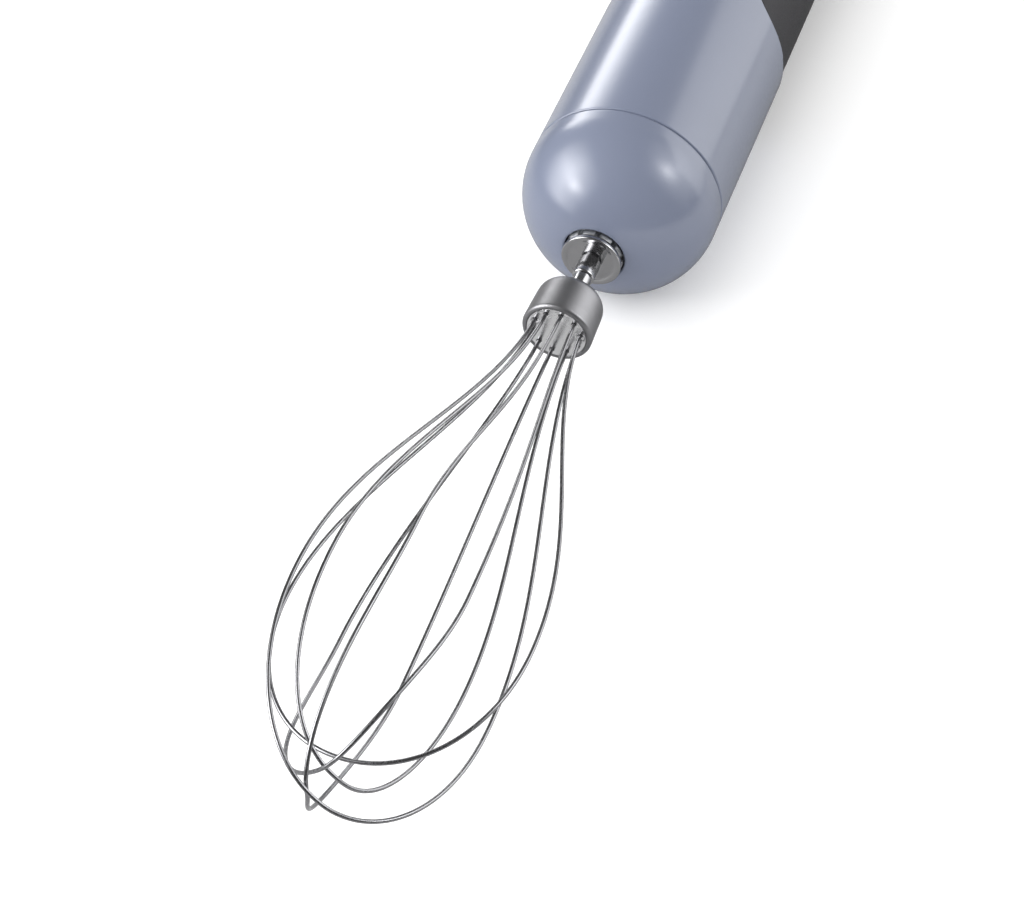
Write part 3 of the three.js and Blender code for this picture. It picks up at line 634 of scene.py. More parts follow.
def loop_profile(loop, side, u):
    """Radius and distance from the ferrule along one side, from the root at 0 to the tip at 1."""
    tail_share, swell_share, tip_power, tail = 0.04, 0.6, 2.12, 6
    radius, widest = loop["radius"][side], loop["widest"][side]
    if u < tail_share:
        return HOLE_CIRCLE, -tail * (1 - u / tail_share)
    if u < swell_share:
        t = (u - tail_share) / (swell_share - tail_share)
        weights = ((1 - t) ** 3, 3 * t * (1 - t) ** 2, 3 * t * t * (1 - t), t**3)
        radii = (HOLE_CIRCLE, HOLE_CIRCLE + 0.02 * widest, radius, radius)
        reaches = (0, 0.34 * widest, 0.643 * widest, widest)
        return tuple(sum(w * v for w, v in zip(weights, values)) for values in (radii, reaches))
    angle = math.pi / 2 * (u - swell_share) / (1 - swell_share)
    across = max(math.cos(angle), 0) ** (2 / tip_power)
    along = math.sin(angle) ** (2 / tip_power)
    return radius * across, widest + (loop["reach"] - widest) * along


def loop_point(loop, t):
    side = 0 if t < 0.5 else 1
    radius, distance = loop_profile(loop, side, 2 * t if side == 0 else 2 - 2 * t)
    widest = loop["widest"][side]
    base = math.radians(loop["angle"])
    turn = base + side * math.pi + math.radians(loop["twist"][side]) * smooth_step(distance / widest)
    shift = loop["lean"] * smooth_step((distance - widest) / (loop["reach"] - widest))
    point = spot(radius, turn, FERRULE_FACE - distance)
    return point + Vector((math.cos(base), 0, -math.sin(base))) * shift * MM


def even_path(point_at, count, samples=2400):
    """Points at equal distances along a path."""
    raw = [point_at(i / samples) for i in range(samples + 1)]
    lengths = [0.0]
    for a, b in zip(raw, raw[1:]):
        lengths.append(lengths[-1] + (b - a).length)
    path = []
    k = 0
    for i in range(count + 1):
        want = lengths[-1] * i / count
        while k < samples - 1 and lengths[k + 1] < want:
            k += 1
        span = lengths[k + 1] - lengths[k]
        path.append(raw[k].lerp(raw[k + 1], (want - lengths[k]) / span if span else 0.0))
    return path


def softened(path, passes):
    """The path with small kinks eased, its ends kept."""
    for _ in range(passes):
        middle = [(a + b * 2 + c) / 4 for a, b, c in zip(path, path[1:], path[2:])]
        path = [path[0], *middle, path[-1]]
    return path


def swept(path, radius, sides):
    """Points and faces of a round wire along a path, with closed ends."""
    tangents = [(b - a).normalized() for a, b in zip([path[0], *path], [*path[1:], path[-1]])]
    tangents[0] = (path[1] - path[0]).normalized()
    across = tangents[0].orthogonal().normalized()
    verts = []
    for point, tangent in zip(path, tangents):
        across = (across - tangent * across.dot(tangent)).normalized()
        other = tangent.cross(across)
        for a in turns(sides):
            verts.append(point + (across * math.cos(a) + other * math.sin(a)) * radius * MM)
    faces = ring_faces(len(path), sides, closed=False)
    faces.append(tuple(range(sides))[::-1])
    faces.append(tuple((len(path) - 1) * sides + k for k in range(sides)))
    return verts, faces


def fit_reach(verts, node):
    """Brings a wire's tip exactly to its CAD node's tip."""
    low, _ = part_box(node)
    root = AXIS.y + FERRULE_FACE * MM
    tip = min(v.y for v in verts)
    share = (root - low.y) / (root - tip)
    return [Vector((v.x, root + (v.y - root) * share if v.y < root else v.y, v.z)) for v in verts]


def add_loops():
    for number, loop in enumerate(LOOPS, 1):
        path = softened(even_path(lambda t: loop_point(loop, t), 420), 4)
        verts, faces = swept(path, WIRE_RADIUS, 16)
        node = "whisk_loop_%d" % number
        add_piece("wire_%d" % number, (fit_reach(verts, node), faces), "whisk", "bright_wire", node)


def add_ferrule():
    rear = FERRULE_FACE + FERRULE_LENGTH
    lip_inner = PLATE_RADIUS + 0.05
    profile = [
        (lip_inner, rear - 3),
        *arc((lip_inner + 0.15, FERRULE_FACE + 0.2), (0.15, 0.2), 180, 270, 4),
        *arc((FERRULE_RADIUS - 1.1, FERRULE_FACE + 1.1), (1.1, 1.1), -90, 0, 14),
        (FERRULE_RADIUS - 0.02, FERRULE_FACE + 2),
        (FERRULE_REAR_RADIUS + 0.1, rear - 4.4),
        *arc((FERRULE_REAR_RADIUS - 3.4, rear - 3.4), (3.4, 3.4), 0, 90, 18),
        (SHAFT_RADIUS + 0.5, rear),
        (SHAFT_RADIUS + 0.25, rear - 0.25),
        (SHAFT_RADIUS + 0.25, rear - 3),
    ]
    add_turned("ferrule", profile, "whisk", "brushed_steel", "whisk_ferrule", sides=SMALL_ROUND)


def plate_point(p, station):
    """A place across the axis (towards +X, upwards) and a station, as a point."""
    return AXIS + Vector((p[0], station, p[1])) * MM


def rim_rings(centre, radius, outwards, steps, drops):
    """Three circles that round an edge of the plate, each with its drop below the plate's face."""
    return [(centre, radius + outwards * inset, steps, drop) for inset, drop in zip((0, 0.06, 0.14), drops)]


def plate_wall(centre, radius, steps, top, bottom):
    """The cut face down from a circle on the plate, facing the circle's middle."""
    verts = []
    for p in circle(centre, radius, steps):
        verts += [plate_point(p, top), plate_point(p, bottom)]
    return verts, strip_faces(steps)


def plate_face(holes):
    """The plate's front on the flat: its points, how far each lies below the face, and its triangles."""
    rings = rim_rings((0, 0), PLATE_RADIUS, -1, SMALL_ROUND, (RIM_DROP, 0.1, 0))
    for hole in holes:
        rings += rim_rings(hole, MOUTH_RADIUS, 1, MOUTH_ROUND, (MOUTH_DROP, 0.06, 0))
    rings += [((0, 0), PLATE_RADIUS * 0.12 * i, 12 * i, 0) for i in range(1, 6)]
    flat, edges, depth = [], [], []
    for centre, radius, steps, drop in rings:
        first = len(flat)
        flat += [Vector(p) for p in circle(centre, radius, steps)]
        depth += [drop] * steps
        edges += [(first + i, first + (i + 1) % steps) for i in range(steps)]
    points, _, triangles, origin, _, _ = delaunay_2d_cdt(flat, edges, [], 0, SAME_POINT)
    drops = [max((depth[k] for k in ids), default=0.0) for ids in origin]
    faces = []
    for tri in triangles:
        c = middle(points, tri)
        if all((c - hole).length > MOUTH_RADIUS * 0.98 for hole in holes):
            faces.append(tuple(tri))
    return points, drops, faces


def add_ferrule_plate():
    """A flat plate with a round mouth for each wire."""
    front = FERRULE_FACE + 0.15
    back = front + 2.4
    angles = [math.radians(loop["angle"]) + half for loop in LOOPS for half in (0, math.pi)]
    holes = [Vector((math.sin(a), math.cos(a))) * HOLE_CIRCLE for a in angles]
    points, drops, faces = plate_face(holes)
    sheet = ([plate_point(p, front + drop) for p, drop in zip(points, drops)], faces)
    under = ([plate_point(p, back) for p in points], [face[::-1] for face in faces])
    rim, rim_faces = plate_wall((0, 0), PLATE_RADIUS, SMALL_ROUND, front + RIM_DROP, back)
    outside = (rim, [face[::-1] for face in rim_faces])
    mouths = [plate_wall(hole, MOUTH_RADIUS, MOUTH_ROUND, front + MOUTH_DROP, back) for hole in holes]
    plate = merge_close(*joined(sheet, outside, *mouths, under))
    looks = dict(crease=50, material=PLATE_STEEL)
    add_piece("wire_plate", plate, "whisk", "brushed_steel", "ferrule_plate", **looks)


def add_shaft():
    front = FERRULE_FACE + FERRULE_LENGTH - 5
    sleeve_front = -41
    rear = FLANGE - 1
    profile = [
        (0, front),
        (SHAFT_RADIUS, front),
        (SHAFT_RADIUS, sleeve_front),
        *arc((SLEEVE_RADIUS - 0.6, sleeve_front + 0.6), (0.6, 0.6), -60, 0, 6),
        (SLEEVE_RADIUS, rear - 0.4),
        (SLEEVE_RADIUS - 0.3, rear),
        (SHAFT_RADIUS, rear),
        (SHAFT_RADIUS, HUB_FRONT - 0.5),
        (0, HUB_FRONT - 0.5),
    ]
    hexagon = [(0, HUB_FRONT - 0.7), (2.9, HUB_FRONT - 0.7), (2.9, -16.6), (0, -16.6)]
    shaft = joined(lathe_mesh(profile, 64), lathe_mesh(hexagon, 6))
    add_piece("drive_shaft", shaft, "whisk", "brushed_steel", "whisk_shaft", material=POLISHED)


def add_flange():
    front, rear, bore = FLANGE - 0.7, FLANGE + 0.7, SHAFT_RADIUS + 0.1
    profile = [
        (bore, front + 0.35),
        (SLEEVE_RADIUS + 0.8, front + 0.35),
        (FLANGE_RADIUS - 2.2, front + 0.32),
        *arc((FLANGE_RADIUS - 2.2, front - 0.68), (1.0, 1.0), 90, 55, 4)[1:],
        (FLANGE_RADIUS - 0.9, front + 0.02),
        *arc((FLANGE_RADIUS - 0.35, front + 0.35), (0.35, 0.35), -90, 0, 6),
        *arc((FLANGE_RADIUS - 0.35, rear - 0.35), (0.35, 0.35), 0, 90, 6),
        (bore, rear),
    ]
    looks = dict(sides=SMALL_ROUND, material=POLISHED)
    add_turned("shaft_disc", profile, "whisk", "brushed_steel", "shaft_flange", **looks)


# ---- adapter


def add_dome():
    """The adapter's lacquered nose, with the recess that the output hub sits in."""
    edge = -PARTING_HALF_GAP
    lip = RECESS_RADIUS + 0.4
    boss = RECESS_RADIUS + 1.9
    outer_end = math.degrees(math.acos(lip / BODY_RADIUS))
    inner = (BODY_RADIUS - WALL, NOSE - WALL)
    inner_end = math.degrees(math.acos(boss / inner[0]))
    mouth = -SKIRT - NOSE * math.sin(math.radians(outer_end))
    profile = [
        (inner[0], edge),
        *arc((0, -SKIRT), (inner[0], -inner[1]), 0, inner_end, 24),
        (boss, -18.6),
        (8.0, -18.6),
        (8.0, -24.4),
        (6.4, -24.4),
        (6.4, RECESS_FLOOR),
        (RECESS_RADIUS - 0.5, RECESS_FLOOR),
        *arc((RECESS_RADIUS - 0.5, RECESS_FLOOR - 0.5), (0.5, 0.5), 90, 0, 4),
        *arc((lip + 0.1, mouth + 0.6), (0.5, 0.55), 180, 262, 10),
        *arc((0, -SKIRT), (BODY_RADIUS, -NOSE), outer_end - 0.6, 0, 72),
        (BODY_RADIUS, edge - 1.0),
        *arc((BODY_RADIUS - 0.6, edge - 0.6), (0.6, 0.6), 0, 70, 8)[1:],
        (BODY_RADIUS - 0.75, edge),
    ]
    looks = dict(sides=BODY_ROUND, floor_cut=True, crease=60)
    add_turned("dome", profile, "adapter", "blue_lacquer", "adapter_dome", **looks)


def hexagon_radius(corner, a):
    """How far a hexagon's edge is from its middle, with its corners at a radius."""
    sector = a % (math.pi / 3) - math.pi / 6
    return corner * math.cos(math.pi / 6) / math.cos(sector)


def add_hub():
    """The output socket: a steel hub, its notched crown round the hexagonal mouth, and the carrier plate."""
    crown_rear = HUB_FRONT + CROWN_THICKNESS
    plate_front, plate_radius = -18.2, 15.9
    steps = 240
    pitch = 2 * math.pi / CROWN_NOTCHES
    verts = []
    for a in turns(steps):
        flat = hexagon_radius(3.0, a)
        near = ((a - math.radians(FIRST_NOTCH)) / pitch + 0.5) % 1 - 0.5
        away = NOTCH_CIRCLE * math.sin(near * pitch)
        bite = math.sqrt(max(NOTCH_RADIUS**2 - away**2, 0.0))
        cut = bite > 0.02
        inner = NOTCH_CIRCLE - bite if cut else CROWN_RADIUS - 0.25
        depth = HUB_FRONT + (CROWN_THICKNESS - 0.6 if cut else 0.2)
        ring = [
            (flat, CARRIER_REAR),
            (flat, HUB_FRONT + 0.3),
            (flat + 0.3, HUB_FRONT),
            (inner, HUB_FRONT),
            (inner + 0.04, depth),
            (CROWN_RADIUS, depth + 0.04),
            (CROWN_RADIUS, crown_rear - 0.2),
            (CROWN_RADIUS - 0.2, crown_rear),
            (HUB_RADIUS, crown_rear),
            (HUB_RADIUS, plate_front),
            (plate_radius, plate_front),
            (plate_radius, CARRIER_REAR),
        ]
        verts += [spot(radius, a, station) for radius, station in ring]
    hub = (verts, ring_faces(steps, len(ring)))
    looks = dict(crease=32, material=HUB_STEEL)
    add_piece("output_hub", hub, "carrier", "brushed_steel", "output_socket", **looks)


def add_seal():
    front, rear = RECESS_FLOOR - 1.2, RECESS_FLOOR - 0.3
    profile = [
        (5.75, rear),
        (5.75, front + 0.3),
        (6.1, front),
        (7.0, front + 0.25),
        (8.4, front),
        (8.75, front + 0.3),
        (8.75, rear),
    ]
    add_turned("lip_seal", profile, "adapter", "soft_rubber", "nose_seal", sides=SMALL_ROUND)


def add_backplate():
    """The plate behind the gearbox and the collar that plugs into the drive unit."""
    lip = BODY_RADIUS - WALL - 0.6
    front, rear, lip_rear, collar_rear, collar = -8.2, -6.2, 2.5, 13.5, 21.6
    profile = [
        (4.7, front),
        (lip - 0.5, front),
        (lip, rear - 0.2),
        (lip, lip_rear - 0.2),
        (lip - 0.2, lip_rear),
        (lip - 0.7, lip_rear),
        (lip - 0.7, rear),
        (collar, rear),
        (collar, collar_rear - 0.5),
        *arc((collar - 0.5, collar_rear - 0.5), (0.5, 0.5), 0, 90, 5)[1:],
        (collar - 1.9, collar_rear),
        (collar - 2.2, collar_rear - 0.3),
        (collar - 2.2, rear),
        (4.7, rear),
    ]
    add_turned("coupling_collar", profile, "adapter", "black_plastic", "adapter_backplate")


# ---- drive unit


def plan_to_flat(x, y, radius, under=False):
    """A plan position on the top, or the underside, of the body as a place on its unrolled surface."""
    a = math.asin(max(-1.0, min(1.0, x / radius)))
    return (-math.pi - a) * radius if under else a * radius, y


def stadium(half_width, half_length, station, steps, shrink=0.0):
    """A closed outline with round ends, drawn in on all sides by an amount."""
    straight = half_length - half_width
    size = (half_width - shrink, half_width - shrink)
    ahead = arc((0, station + straight), size, 0, 180, steps)
    behind = arc((0, station - straight), size, 180, 360, steps)
    return ahead + behind


def slot_outline(half_width, half_length, station, corner=1.4):
    """A closed rectangle with round corners."""
    points = []
    for sx, sy, start in ((1, 1, 0), (-1, 1, 90), (-1, -1, 180), (1, -1, 270)):
        centre = (sx * (half_width - corner), station + sy * (half_length - corner))
        points += arc(centre, (corner, corner), start, start + 90, 5)
    return points


def dense(points, spacing=1.5):
    """The closed outline with points added on its long stretches."""
    out = []
    for p, q in neighbours(points):
        gap = math.dist(p, q)
        if gap < 1e-6:
            continue
        steps = max(1, math.ceil(gap / spacing))
        out += [(p[0] + (q[0] - p[0]) * i / steps, p[1] + (q[1] - p[1]) * i / steps) for i in range(steps)]
    return out


def hole_line(points, radius, under=False):
    """A hole's edge, running clockwise so that the sheet is on its left."""
    flat = [plan_to_flat(x, y, radius, under) for x, y in dense(points)]
    turn = sum(p[0] * q[1] - q[0] * p[1] for p, q in neighbours(flat))
    return Line(flat if turn < 0 else flat[::-1], closed=True, rim=0.35)


def spine_edge(spread, radius, end):
    """One side of the spine, from its rear end forward and round the corner to the body's side."""
    centre = (SPINE_HALF + SPINE_CORNER, SLEEVE_END + SPINE_CORNER)
    reach = SPINE_CORNER - spread
    steps = 40
    points = [(SPINE_HALF + spread, end + (centre[1] - end) * i / steps) for i in range(steps)]
    points += arc(centre, (reach, reach), 180, 270, 36)
    flat = [plan_to_flat(x, y, radius) for x, y in points if x < radius]
    last = math.pi / 2 * radius
    if flat[-1][0] < last - 0.3:
        flat.append((last, SLEEVE_END + spread))
    return flat


def add_housing():
    """The lacquered sleeve and spine, one skin wrapped round the axis with its holes."""
    r = BODY_RADIUS
    quarter = math.pi / 2 * r
    seam = -3 * quarter
    right = spine_edge(0, r, HOUSING_END)
    left = [(-u, v) for u, v in reversed(right)]
    under = evenly(seam, left[0][0], SLEEVE_END, 94)[:-1]
    crown = evenly(left[-1][0], right[0][0], HOUSING_END, 32)[1:-1]
    rear = [*under, *left, *crown, *right][::-1]
    front = evenly(seam, seam + 4 * quarter, PARTING_HALF_GAP, 188)
    buttons = [
        (BUTTON_HALF, POWER_REACH, POWER_STATION, False),
        (BUTTON_HALF, TURBO_REACH, TURBO_STATION, False),
        (RELEASE_HALF, RELEASE_REACH, RELEASE_STATION, True),
    ]
    holes = [hole_line(slot_outline(WHEEL_HALF + 0.7, 11.4, WHEEL_STATION), r)]
    for half, reach, station, under_side in buttons:
        outline = stadium(half + BUTTON_GAP, reach + BUTTON_GAP, station, 14)
        holes.append(hole_line(outline, r, under_side))
    lines = [Line(front, rim=0.6), Line(rear)]
    skin = wrapped_sheet(r, [*front, *rear], lines, holes, WALL, floor_cut=True)
    add_piece("housing_skin", skin, "drive_unit", "blue_lacquer", "front_housing")
    inner = BODY_RADIUS - WALL
    step = BODY_RADIUS - 0.55
    spigot = [
        (inner, 20),
        (inner, -0.1),
        (step - 0.15, -0.1),
        (step, 0.05),
        (step, 0.9),
        (inner + 0.3, 0.9),
        (inner + 0.3, 20),
    ]
    add_turned("housing_bore", spigot, "drive_unit", "blue_lacquer", sides=BODY_ROUND, floor_cut=True)


def grip_sheet(radius, spread, end, depth, rim):
    """The grip's skin, or the dark lining that is tucked under the seam."""
    right = spine_edge(spread, radius, end)
    far = 2 * math.pi * radius
    left = [(far - u, v) for u, v in reversed(right)]
    belly = evenly(right[-1][0], left[0][0], SLEEVE_END + spread, 90)[1:-1]
    rear = evenly(left[-1][0], right[0][0], end, 150)[1:-1]
    outline = [*right, *belly, *left, *rear]
    edge = Line(outline, closed=True, rim=rim)
    return wrapped_sheet(radius, outline, [edge], [], depth)


def add_grip():
    skin = grip_sheet(GRIP_RADIUS, SEAM, HOUSING_END - 0.2, 2.0, 0.4)
    add_piece("grip_skin", skin, "drive_unit", "dark_grip", "rear_grip")
    lining = grip_sheet(LINER_RADIUS, -3.0, HOUSING_END + 0.3, 0.8, 0.2)
    add_piece("grip_lining", lining, "drive_unit", "black_plastic")


def add_tail():
    front = HOUSING_END + SEAM
    inner = BODY_RADIUS - WALL
    profile = [
        (inner, front),
        *arc((BODY_RADIUS - 0.35, front + 0.35), (0.35, 0.35), -90, 0, 5),
        (BODY_RADIUS, front + 1.2),
        *arc((BODY_RADIUS - TAIL_ROUND, TAIL_END - TAIL_ROUND), (TAIL_ROUND, TAIL_ROUND), 0, 90, 24),
        (7.4, TAIL_END),
        *arc((7.4, TAIL_END - 1.0), (1.0, 1.0), 90, 180, 6)[1:],
        (6.4, TAIL_END - WALL),
        (inner - 6, TAIL_END - WALL),
        (inner, TAIL_END - TAIL_ROUND),
    ]
    looks = dict(sides=BODY_ROUND, floor_cut=True, crease=50)
    add_turned("tail_skin", profile, "drive_unit", "dark_grip", "tail_cap", **looks)


def add_gland():
    rear = TAIL_END - 0.2
    profile = [
        (3.6, TAIL_END - 6),
        (8.2, TAIL_END - 6),
        (8.2, TAIL_END - WALL - 0.3),
        (6.0, TAIL_END - WALL - 0.3),
        *arc((5.5, rear - 0.5), (0.5, 0.5), 0, 90, 5),
        (4.6, rear),
        *arc((4.6, rear - 1.0), (1.0, 1.0), 90, 180, 6)[1:],
    ]
    add_turned("cord_grommet", profile, "drive_unit", "soft_rubber", "cord_gland", sides=SMALL_ROUND)


def add_bulkhead():
    """The wall in the drive unit's mouth and the tube that takes the adapter's collar."""
    wall_front, wall_rear = 16.5, 19
    tube_inner, tube_outer = 21.7, 23.6
    profile = [
        (4.0, wall_front),
        (tube_inner, wall_front),
        (tube_inner, 3.3),
        (tube_inner + 0.3, 3.0),
        (tube_outer - 0.3, 3.0),
        (tube_outer, 3.3),
        (tube_outer, wall_front),
        (27.1, wall_front),
        (27.1, wall_rear),
        (4.0, wall_rear),
    ]
    add_turned("mouth_bulkhead", profile, "drive_unit", "black_plastic", "front_bulkhead")


def add_coupling():
    """The motor's drive coupling with its hexagonal socket."""
    radius, front, rear, floor_station = 7.4, 0.8, 14.6, 9.5
    steps = 96
    verts = []
    for a in turns(steps):
        flat = hexagon_radius(2.8, a)
        ring = [
            (radius, rear),
            (radius, front + 0.4),
            (radius - 0.3, front),
            (flat + 0.3, front),
            (flat, front + 0.3),
            (flat, floor_station),
            (0.0, floor_station),
            (0.0, rear),
        ]
        verts += [spot(r, a, station) for r, station in ring]
    socket = merge_close(verts, ring_faces(steps, len(ring)))
    add_piece("drive_socket", socket, "rotor", "black_plastic", "drive_coupling")


# ---- controls


def button_mesh(half_width, half_length, station, crown, rim, dish=0.0, sign=1, ribbed=False):
    """A stadium button: layers from its base up to a rounded rim, then a slightly dished crown.

    Each layer is drawn in from the outline and has a height. Sign is -1 for a button that faces down.
    """
    layers = [(0.0, BUTTON_BASE)]
    layers += [(rim - across, height) for across, height in arc((0, crown - rim), (rim, rim), 0, 90, 6)]
    for inset in (0.5, 1.2, 2.0, 3.0, 4.0):
        if rim + inset < half_width - 0.2:
            share = inset / (half_width - rim)
            layers.append((rim + inset, crown - dish * smooth_step(share * 1.6)))
    verts = []
    for shrink, height in layers:
        for x, y in stadium(half_width, half_length, station, 24, shrink):
            ripple = 0.18 * math.cos(2 * math.pi * (y - station) / 2.4) if ribbed and shrink > rim else 0.0
            verts.append(AXIS + Vector((x, y, sign * (height + ripple))) * MM)
    count = len(verts) // len(layers)
    faces = ring_faces(len(layers), count, closed=False)
    # The crown's middle strip is closed with quads across from one long side to the other.
    top = len(verts) - count
    for i in range(count // 2 - 1):
        faces.append((top + i, top + i + 1, top + count - 2 - i, top + count - 1 - i))
    faces.append(tuple(range(count))[::-1])
    if sign < 0:
        faces = [face[::-1] for face in faces]
    return verts, faces


def block_mesh(x, y, z):
    """A block between two values on each axis, in millimetres from AXIS."""
    verts = [AXIS + Vector((a, b, c)) * MM for a in x for b in y for c in z]
    faces = [(0, 1, 3, 2), (4, 6, 7, 5), (0, 4, 5, 1), (2, 3, 7, 6), (0, 2, 6, 4), (1, 5, 7, 3)]
    return verts, faces


def add_buttons():
    keys = (("power", POWER_REACH, POWER_STATION), ("turbo", TURBO_REACH, TURBO_STATION))
    for name, reach, station in keys:
        cap = button_mesh(BUTTON_HALF, reach, station, BUTTON_TOP, 0.9, dish=0.5)
        flange = block_mesh((-8.3, 8.3), (station - reach - 1.5, station + reach + 1.5), (23.6, 25.2))
        key, button = name + "_key", name + "_button"
        add_piece(key, joined(cap, flange), button, "dark_grip", button, material=SOFT_BUTTON)


def add_release():
    """The release button with its flange, and the arm and hook that reach forward to the collar."""
    parts = [
        button_mesh(RELEASE_HALF, RELEASE_REACH, RELEASE_STATION, RELEASE_FACE, 0.7, sign=-1, ribbed=True),
        block_mesh((-7.2, 7.2), (RELEASE_STATION - 11, RELEASE_STATION + 11), (-25.8, -24.2)),
        block_mesh((-2.3, 2.3), (14, RELEASE_STATION - 10), (-25.8, -24.2)),
        block_mesh((-2.3, 2.3), (14, 15.8), (-25.8, -17)),
        block_mesh((-2.3, 2.3), (5, 15), (-18.6, -17)),
        block_mesh((-2.3, 2.3), (5, 7.5), (-21, -17.5)),
    ]
    button = "release_button"
    add_piece("release_key", joined(*parts), button, "dark_grip", button, material=SOFT_BUTTON)


def add_wheel():
    """The speed wheel: a knurled rim with rounded edges on a smooth disc."""
    ribs, steps, groove_depth = 40, 480, 0.55
    centre = AXIS + Vector((0, WHEEL_STATION, WHEEL_HEIGHT)) * MM
    # From the bore out to the rim: radius, how far in from the wheel's face, and the groove's share there.
    side = [(1.6, 0.6, 0), (8.0, 0.6, 0), (9.0, 0, 0), (11.0, 0, 0), (12.0, 0.2, 0.4), (12.4, 0.7, 1.0)]
    rows = [(radius, inset - WHEEL_HALF, share) for radius, inset, share in side]
    rows.append((WHEEL_RADIUS, 0, 1.0))
    rows += [(radius, WHEEL_HALF - inset, share) for radius, inset, share in reversed(side)]
    verts = []
    for a in turns(steps):
        groove = groove_depth * max(0.0, math.cos(a * ribs)) ** 2
        for radius, x, share in rows:
            r = radius - groove * share
            verts.append(centre + Vector((x, r * math.sin(a), r * math.cos(a))) * MM)
    wheel = (verts, ring_faces(steps, len(rows)))
    looks = dict(crease=50, material=SOFT_BUTTON)
    add_piece("thumb_wheel", wheel, "speed_wheel", "dark_grip", "speed_wheel", **looks)


def add_spring(node, station, radius, low, high, turns):
    """A coil spring that returns a button, wound round a station from height low to height high."""
    def point(t):
        a = 2 * math.pi * turns * t
        across = Vector((radius * math.cos(a), station + radius * math.sin(a), low + (high - low) * t))
        return AXIS + across * MM

    coil = swept(even_path(point, 120, 600), 0.33, 10)
    piece = add_piece(node + "_coil", coil, "drive_unit", "bright_wire", node)
    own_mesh(piece)


def add_springs():
    for name, station in (("power_button", POWER_STATION), ("turbo_button", TURBO_STATION)):
        add_spring(name + "_spring", station, 3.0, 16.4, 23.0, 3.5)
    add_spring("release_spring", RELEASE_STATION, 2.6, -23.6, -19.6, 2.5)


# ---- stage


WHITE = (1, 1, 1)
FLOOR_GLOW = 0.13
WORLD_FOR_DIFFUSE = 1.05
WORLD_FOR_GLOSSY = 0.15


def place_facing(thing, target, azimuth, elevation, distance):
    """Puts a camera or a lamp at a distance from its target and turns it to face the target.

    Angles are in degrees, and azimuth is from -Y towards +X.
    """
    a, e = math.radians(azimuth), math.radians(elevation)
    way = Vector((math.sin(a) * math.cos(e), -math.cos(a) * math.cos(e), math.sin(e)))
    thing.location = target + way * distance
    thing.rotation_mode = "QUATERNION"
    thing.rotation_quaternion = (target - thing.location).to_track_quat("-Z", "Y")


def add_camera():
    """A long lens that looks down at the whisk end from 0.7 m away."""
    data = bpy.data.cameras.new("camera")
    data.lens = 91.37
    data.sensor_width = 36
    camera = linked("camera", data)
    place_facing(camera, AXIS + Vector((3.2, -111.4, 0)) * MM, 19.47, 48.02, 0.7091)
    bpy.context.scene.camera = camera


def add_light(name, azimuth, elevation, distance, size, radiance, fade=None, glossy=True, diffuse=True):
    """A rectangular softbox that faces the dome.

    Radiance is 1 for white paper in full light. Fade gives the sharpness of the falloff across and up the
    box, and how high its brightest line is.
    """
    data = bpy.data.lights.new(name, "AREA")
    data.shape = "RECTANGLE"
    data.size, data.size_y = size
    data.energy = radiance * math.pi * size[0] * size[1]
    lamp = linked(name, data)
    place_facing(lamp, AXIS + Vector((0, -20, 0)) * MM, azimuth, elevation, distance)
    lamp.visible_glossy = glossy
    lamp.visible_diffuse = diffuse
    lamp.visible_camera = False
    if fade:
        fade_light(data, *fade)


def fade_light(data, across, up, middle):
    """Makes a light brightest along a line at a height from 0 to 1, and dim towards its edges."""
    n = Nodes(data, "Emission")

    def hump(value, centre, reach, power):
        off = n.math("DIVIDE", n.math("ABSOLUTE", n.math("SUBTRACT", value, centre)), reach)
        keep = n.math("MAXIMUM", n.math("SUBTRACT", 1.0, off), 0.0)
        return n.math("POWER", keep, power)

    x, y, _ = n.split(new_node(n.tree, "NewGeometry", {}).outputs["Parametric"])
    falloff = n.math("MULTIPLY", hump(x, 0.5, 0.5, across), hump(y, middle, max(middle, 1 - middle), up))
    n.drive("Strength", falloff)


def flat_sheet(name, half, height):
    """A level rectangle at a height, from its half width and half length in metres."""
    mesh = bpy.data.meshes.new(name)
    corners = [(-half[0], -half[1]), (half[0], -half[1]), (half[0], half[1]), (-half[0], half[1])]
    mesh.from_pydata([(x, y, height) for x, y in corners], [], [(0, 1, 2, 3)])
    sheet = linked(name, mesh)
    return sheet


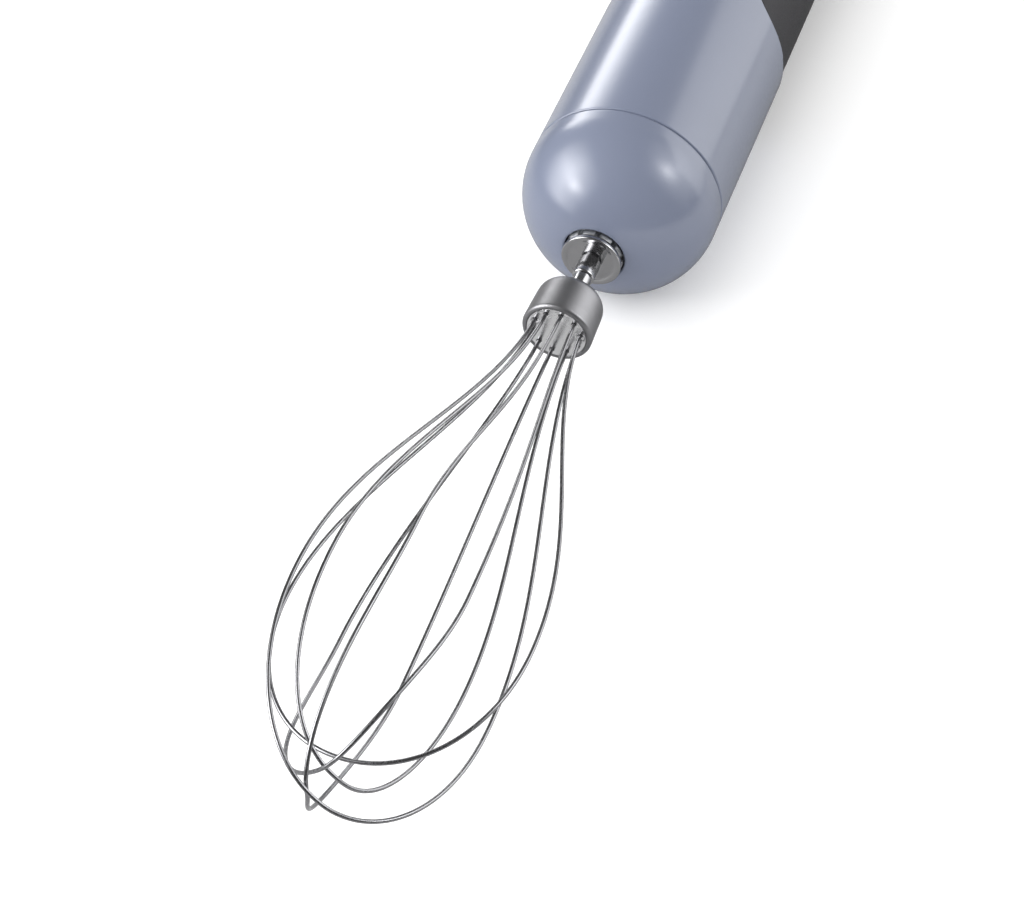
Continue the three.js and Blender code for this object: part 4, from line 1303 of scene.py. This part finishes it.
def add_floor():
    """A white floor. The lacquer and steel mirror a sheet on it whose colour is painted light and shade:
    painted shade in a band along the object and round its nose, painted light brighter to the right, and a
    painted falloff to dark at the sides.
    """
    floor = flat_sheet("floor", (6, 6), -0.0001)
    floor.visible_glossy = False
    n = surface("floor_white")
    n.set(Roughness=0.9, Specular_IOR_Level=0.0, Emission_Color=(*WHITE, 1), Emission_Strength=FLOOR_GLOW)
    n.tint(n.noise(n.place(), 8.0), WHITE, 0.9, 0.93)
    floor.data.materials.append(n.owner)
    mirrored = flat_sheet("floor_in_reflections", (0.5, 0.8), -0.00005)
    mirrored.visible_camera = False
    mirrored.visible_diffuse = False
    mirrored.visible_shadow = False
    n = surface("floor_painted_light_and_shade")
    n.set(Roughness=0.9, Specular_IOR_Level=0.0)
    x, y, _ = n.split(n.place())
    sideways = n.math("MAXIMUM", n.math("MULTIPLY", x, -1.0), n.math("MULTIPLY", x, 0.35))
    ahead = n.math("MINIMUM", n.math("ADD", y, 0.045), 0.0)
    away = n.length(x, ahead)
    # Painted falloff: the mirrored floor fades to dark towards the sides.
    painted_falloff = n.ramp(sideways, (0.07, 0.24), (1, 0))
    # Painted shade: darker in a band along the object and in front of its nose.
    bright = n.math("MULTIPLY", painted_falloff, n.ramp(away, (0.03, 0.1), (0.5, 0.72)))
    # Painted light: brighter towards the right.
    bright = n.math("MULTIPLY", bright, n.ramp(x, (0.05, 0.18), (0.85, 1.35)))
    n.tint(bright, WHITE, 0.03, 0.8)
    mirrored.data.materials.append(n.owner)


def add_world():
    """A bright even surround that steel and lacquer mirror only dimly, as in a studio with dark walls."""
    world = bpy.data.worlds.new("studio")
    n = Nodes(world, "Background")
    n.set(Color=(*WHITE, 1))
    glossy = new_node(n.tree, "LightPath", {}).outputs["Is Glossy Ray"]
    n.drive("Strength", n.ramp(glossy, (0, 1), (WORLD_FOR_DIFFUSE, WORLD_FOR_GLOSSY)))
    world.cycles.sampling_method = "NONE"
    bpy.context.scene.world = world


def light_stage():
    add_light("key_left", -50, 24, 1.3, (1.3, 0.8), 17, fade=(4, 4, 0.5))
    add_light("wide_left", -66, 28, 1.3, (1.9, 1.5), 11, fade=(1.1, 1.1, 0.5), diffuse=False)
    add_light("low_left", -60, 3, 1.3, (1.5, 0.6), 5, fade=(1.2, 1.2, 0.5), diffuse=False)
    add_light("fill_left", -72, 27, 1.3, (1.5, 1.0), 2.2, glossy=False)
    add_light("side_right", 97, 42, 1.3, (0.75, 0.9), 10, fade=(2, 1.8, 0.5), diffuse=False)
    add_light("wide_right", 108, 34, 1.3, (1.6, 1.8), 3.2, fade=(0.9, 0.9, 0.5), diffuse=False)
    add_light("strip_rear_left", -142, 18, 1.5, (0.8, 0.66), 7.2, fade=(0.15, 1.2, 0.28), diffuse=False)
    add_light("board_rear_right", 142, 3, 1.6, (2.0, 2.2), 2.1, fade=(0.1, 0.2, 0.75), diffuse=False)
    add_light("overhead", -75, 60, 1.7, (2.2, 2.2), 0.9, glossy=False)


# ---- build

dress_cad_nodes()
add_loops()
add_ferrule()
add_ferrule_plate()
add_shaft()
add_flange()
add_dome()
add_hub()
add_seal()
add_backplate()
add_housing()
add_grip()
add_tail()
add_gland()
add_bulkhead()
add_coupling()
add_buttons()
add_release()
add_wheel()
add_springs()
add_floor()
add_world()
light_stage()
add_camera()
bpy.context.scene.view_settings.view_transform = "Standard"

bpy.context.view_layer.update()
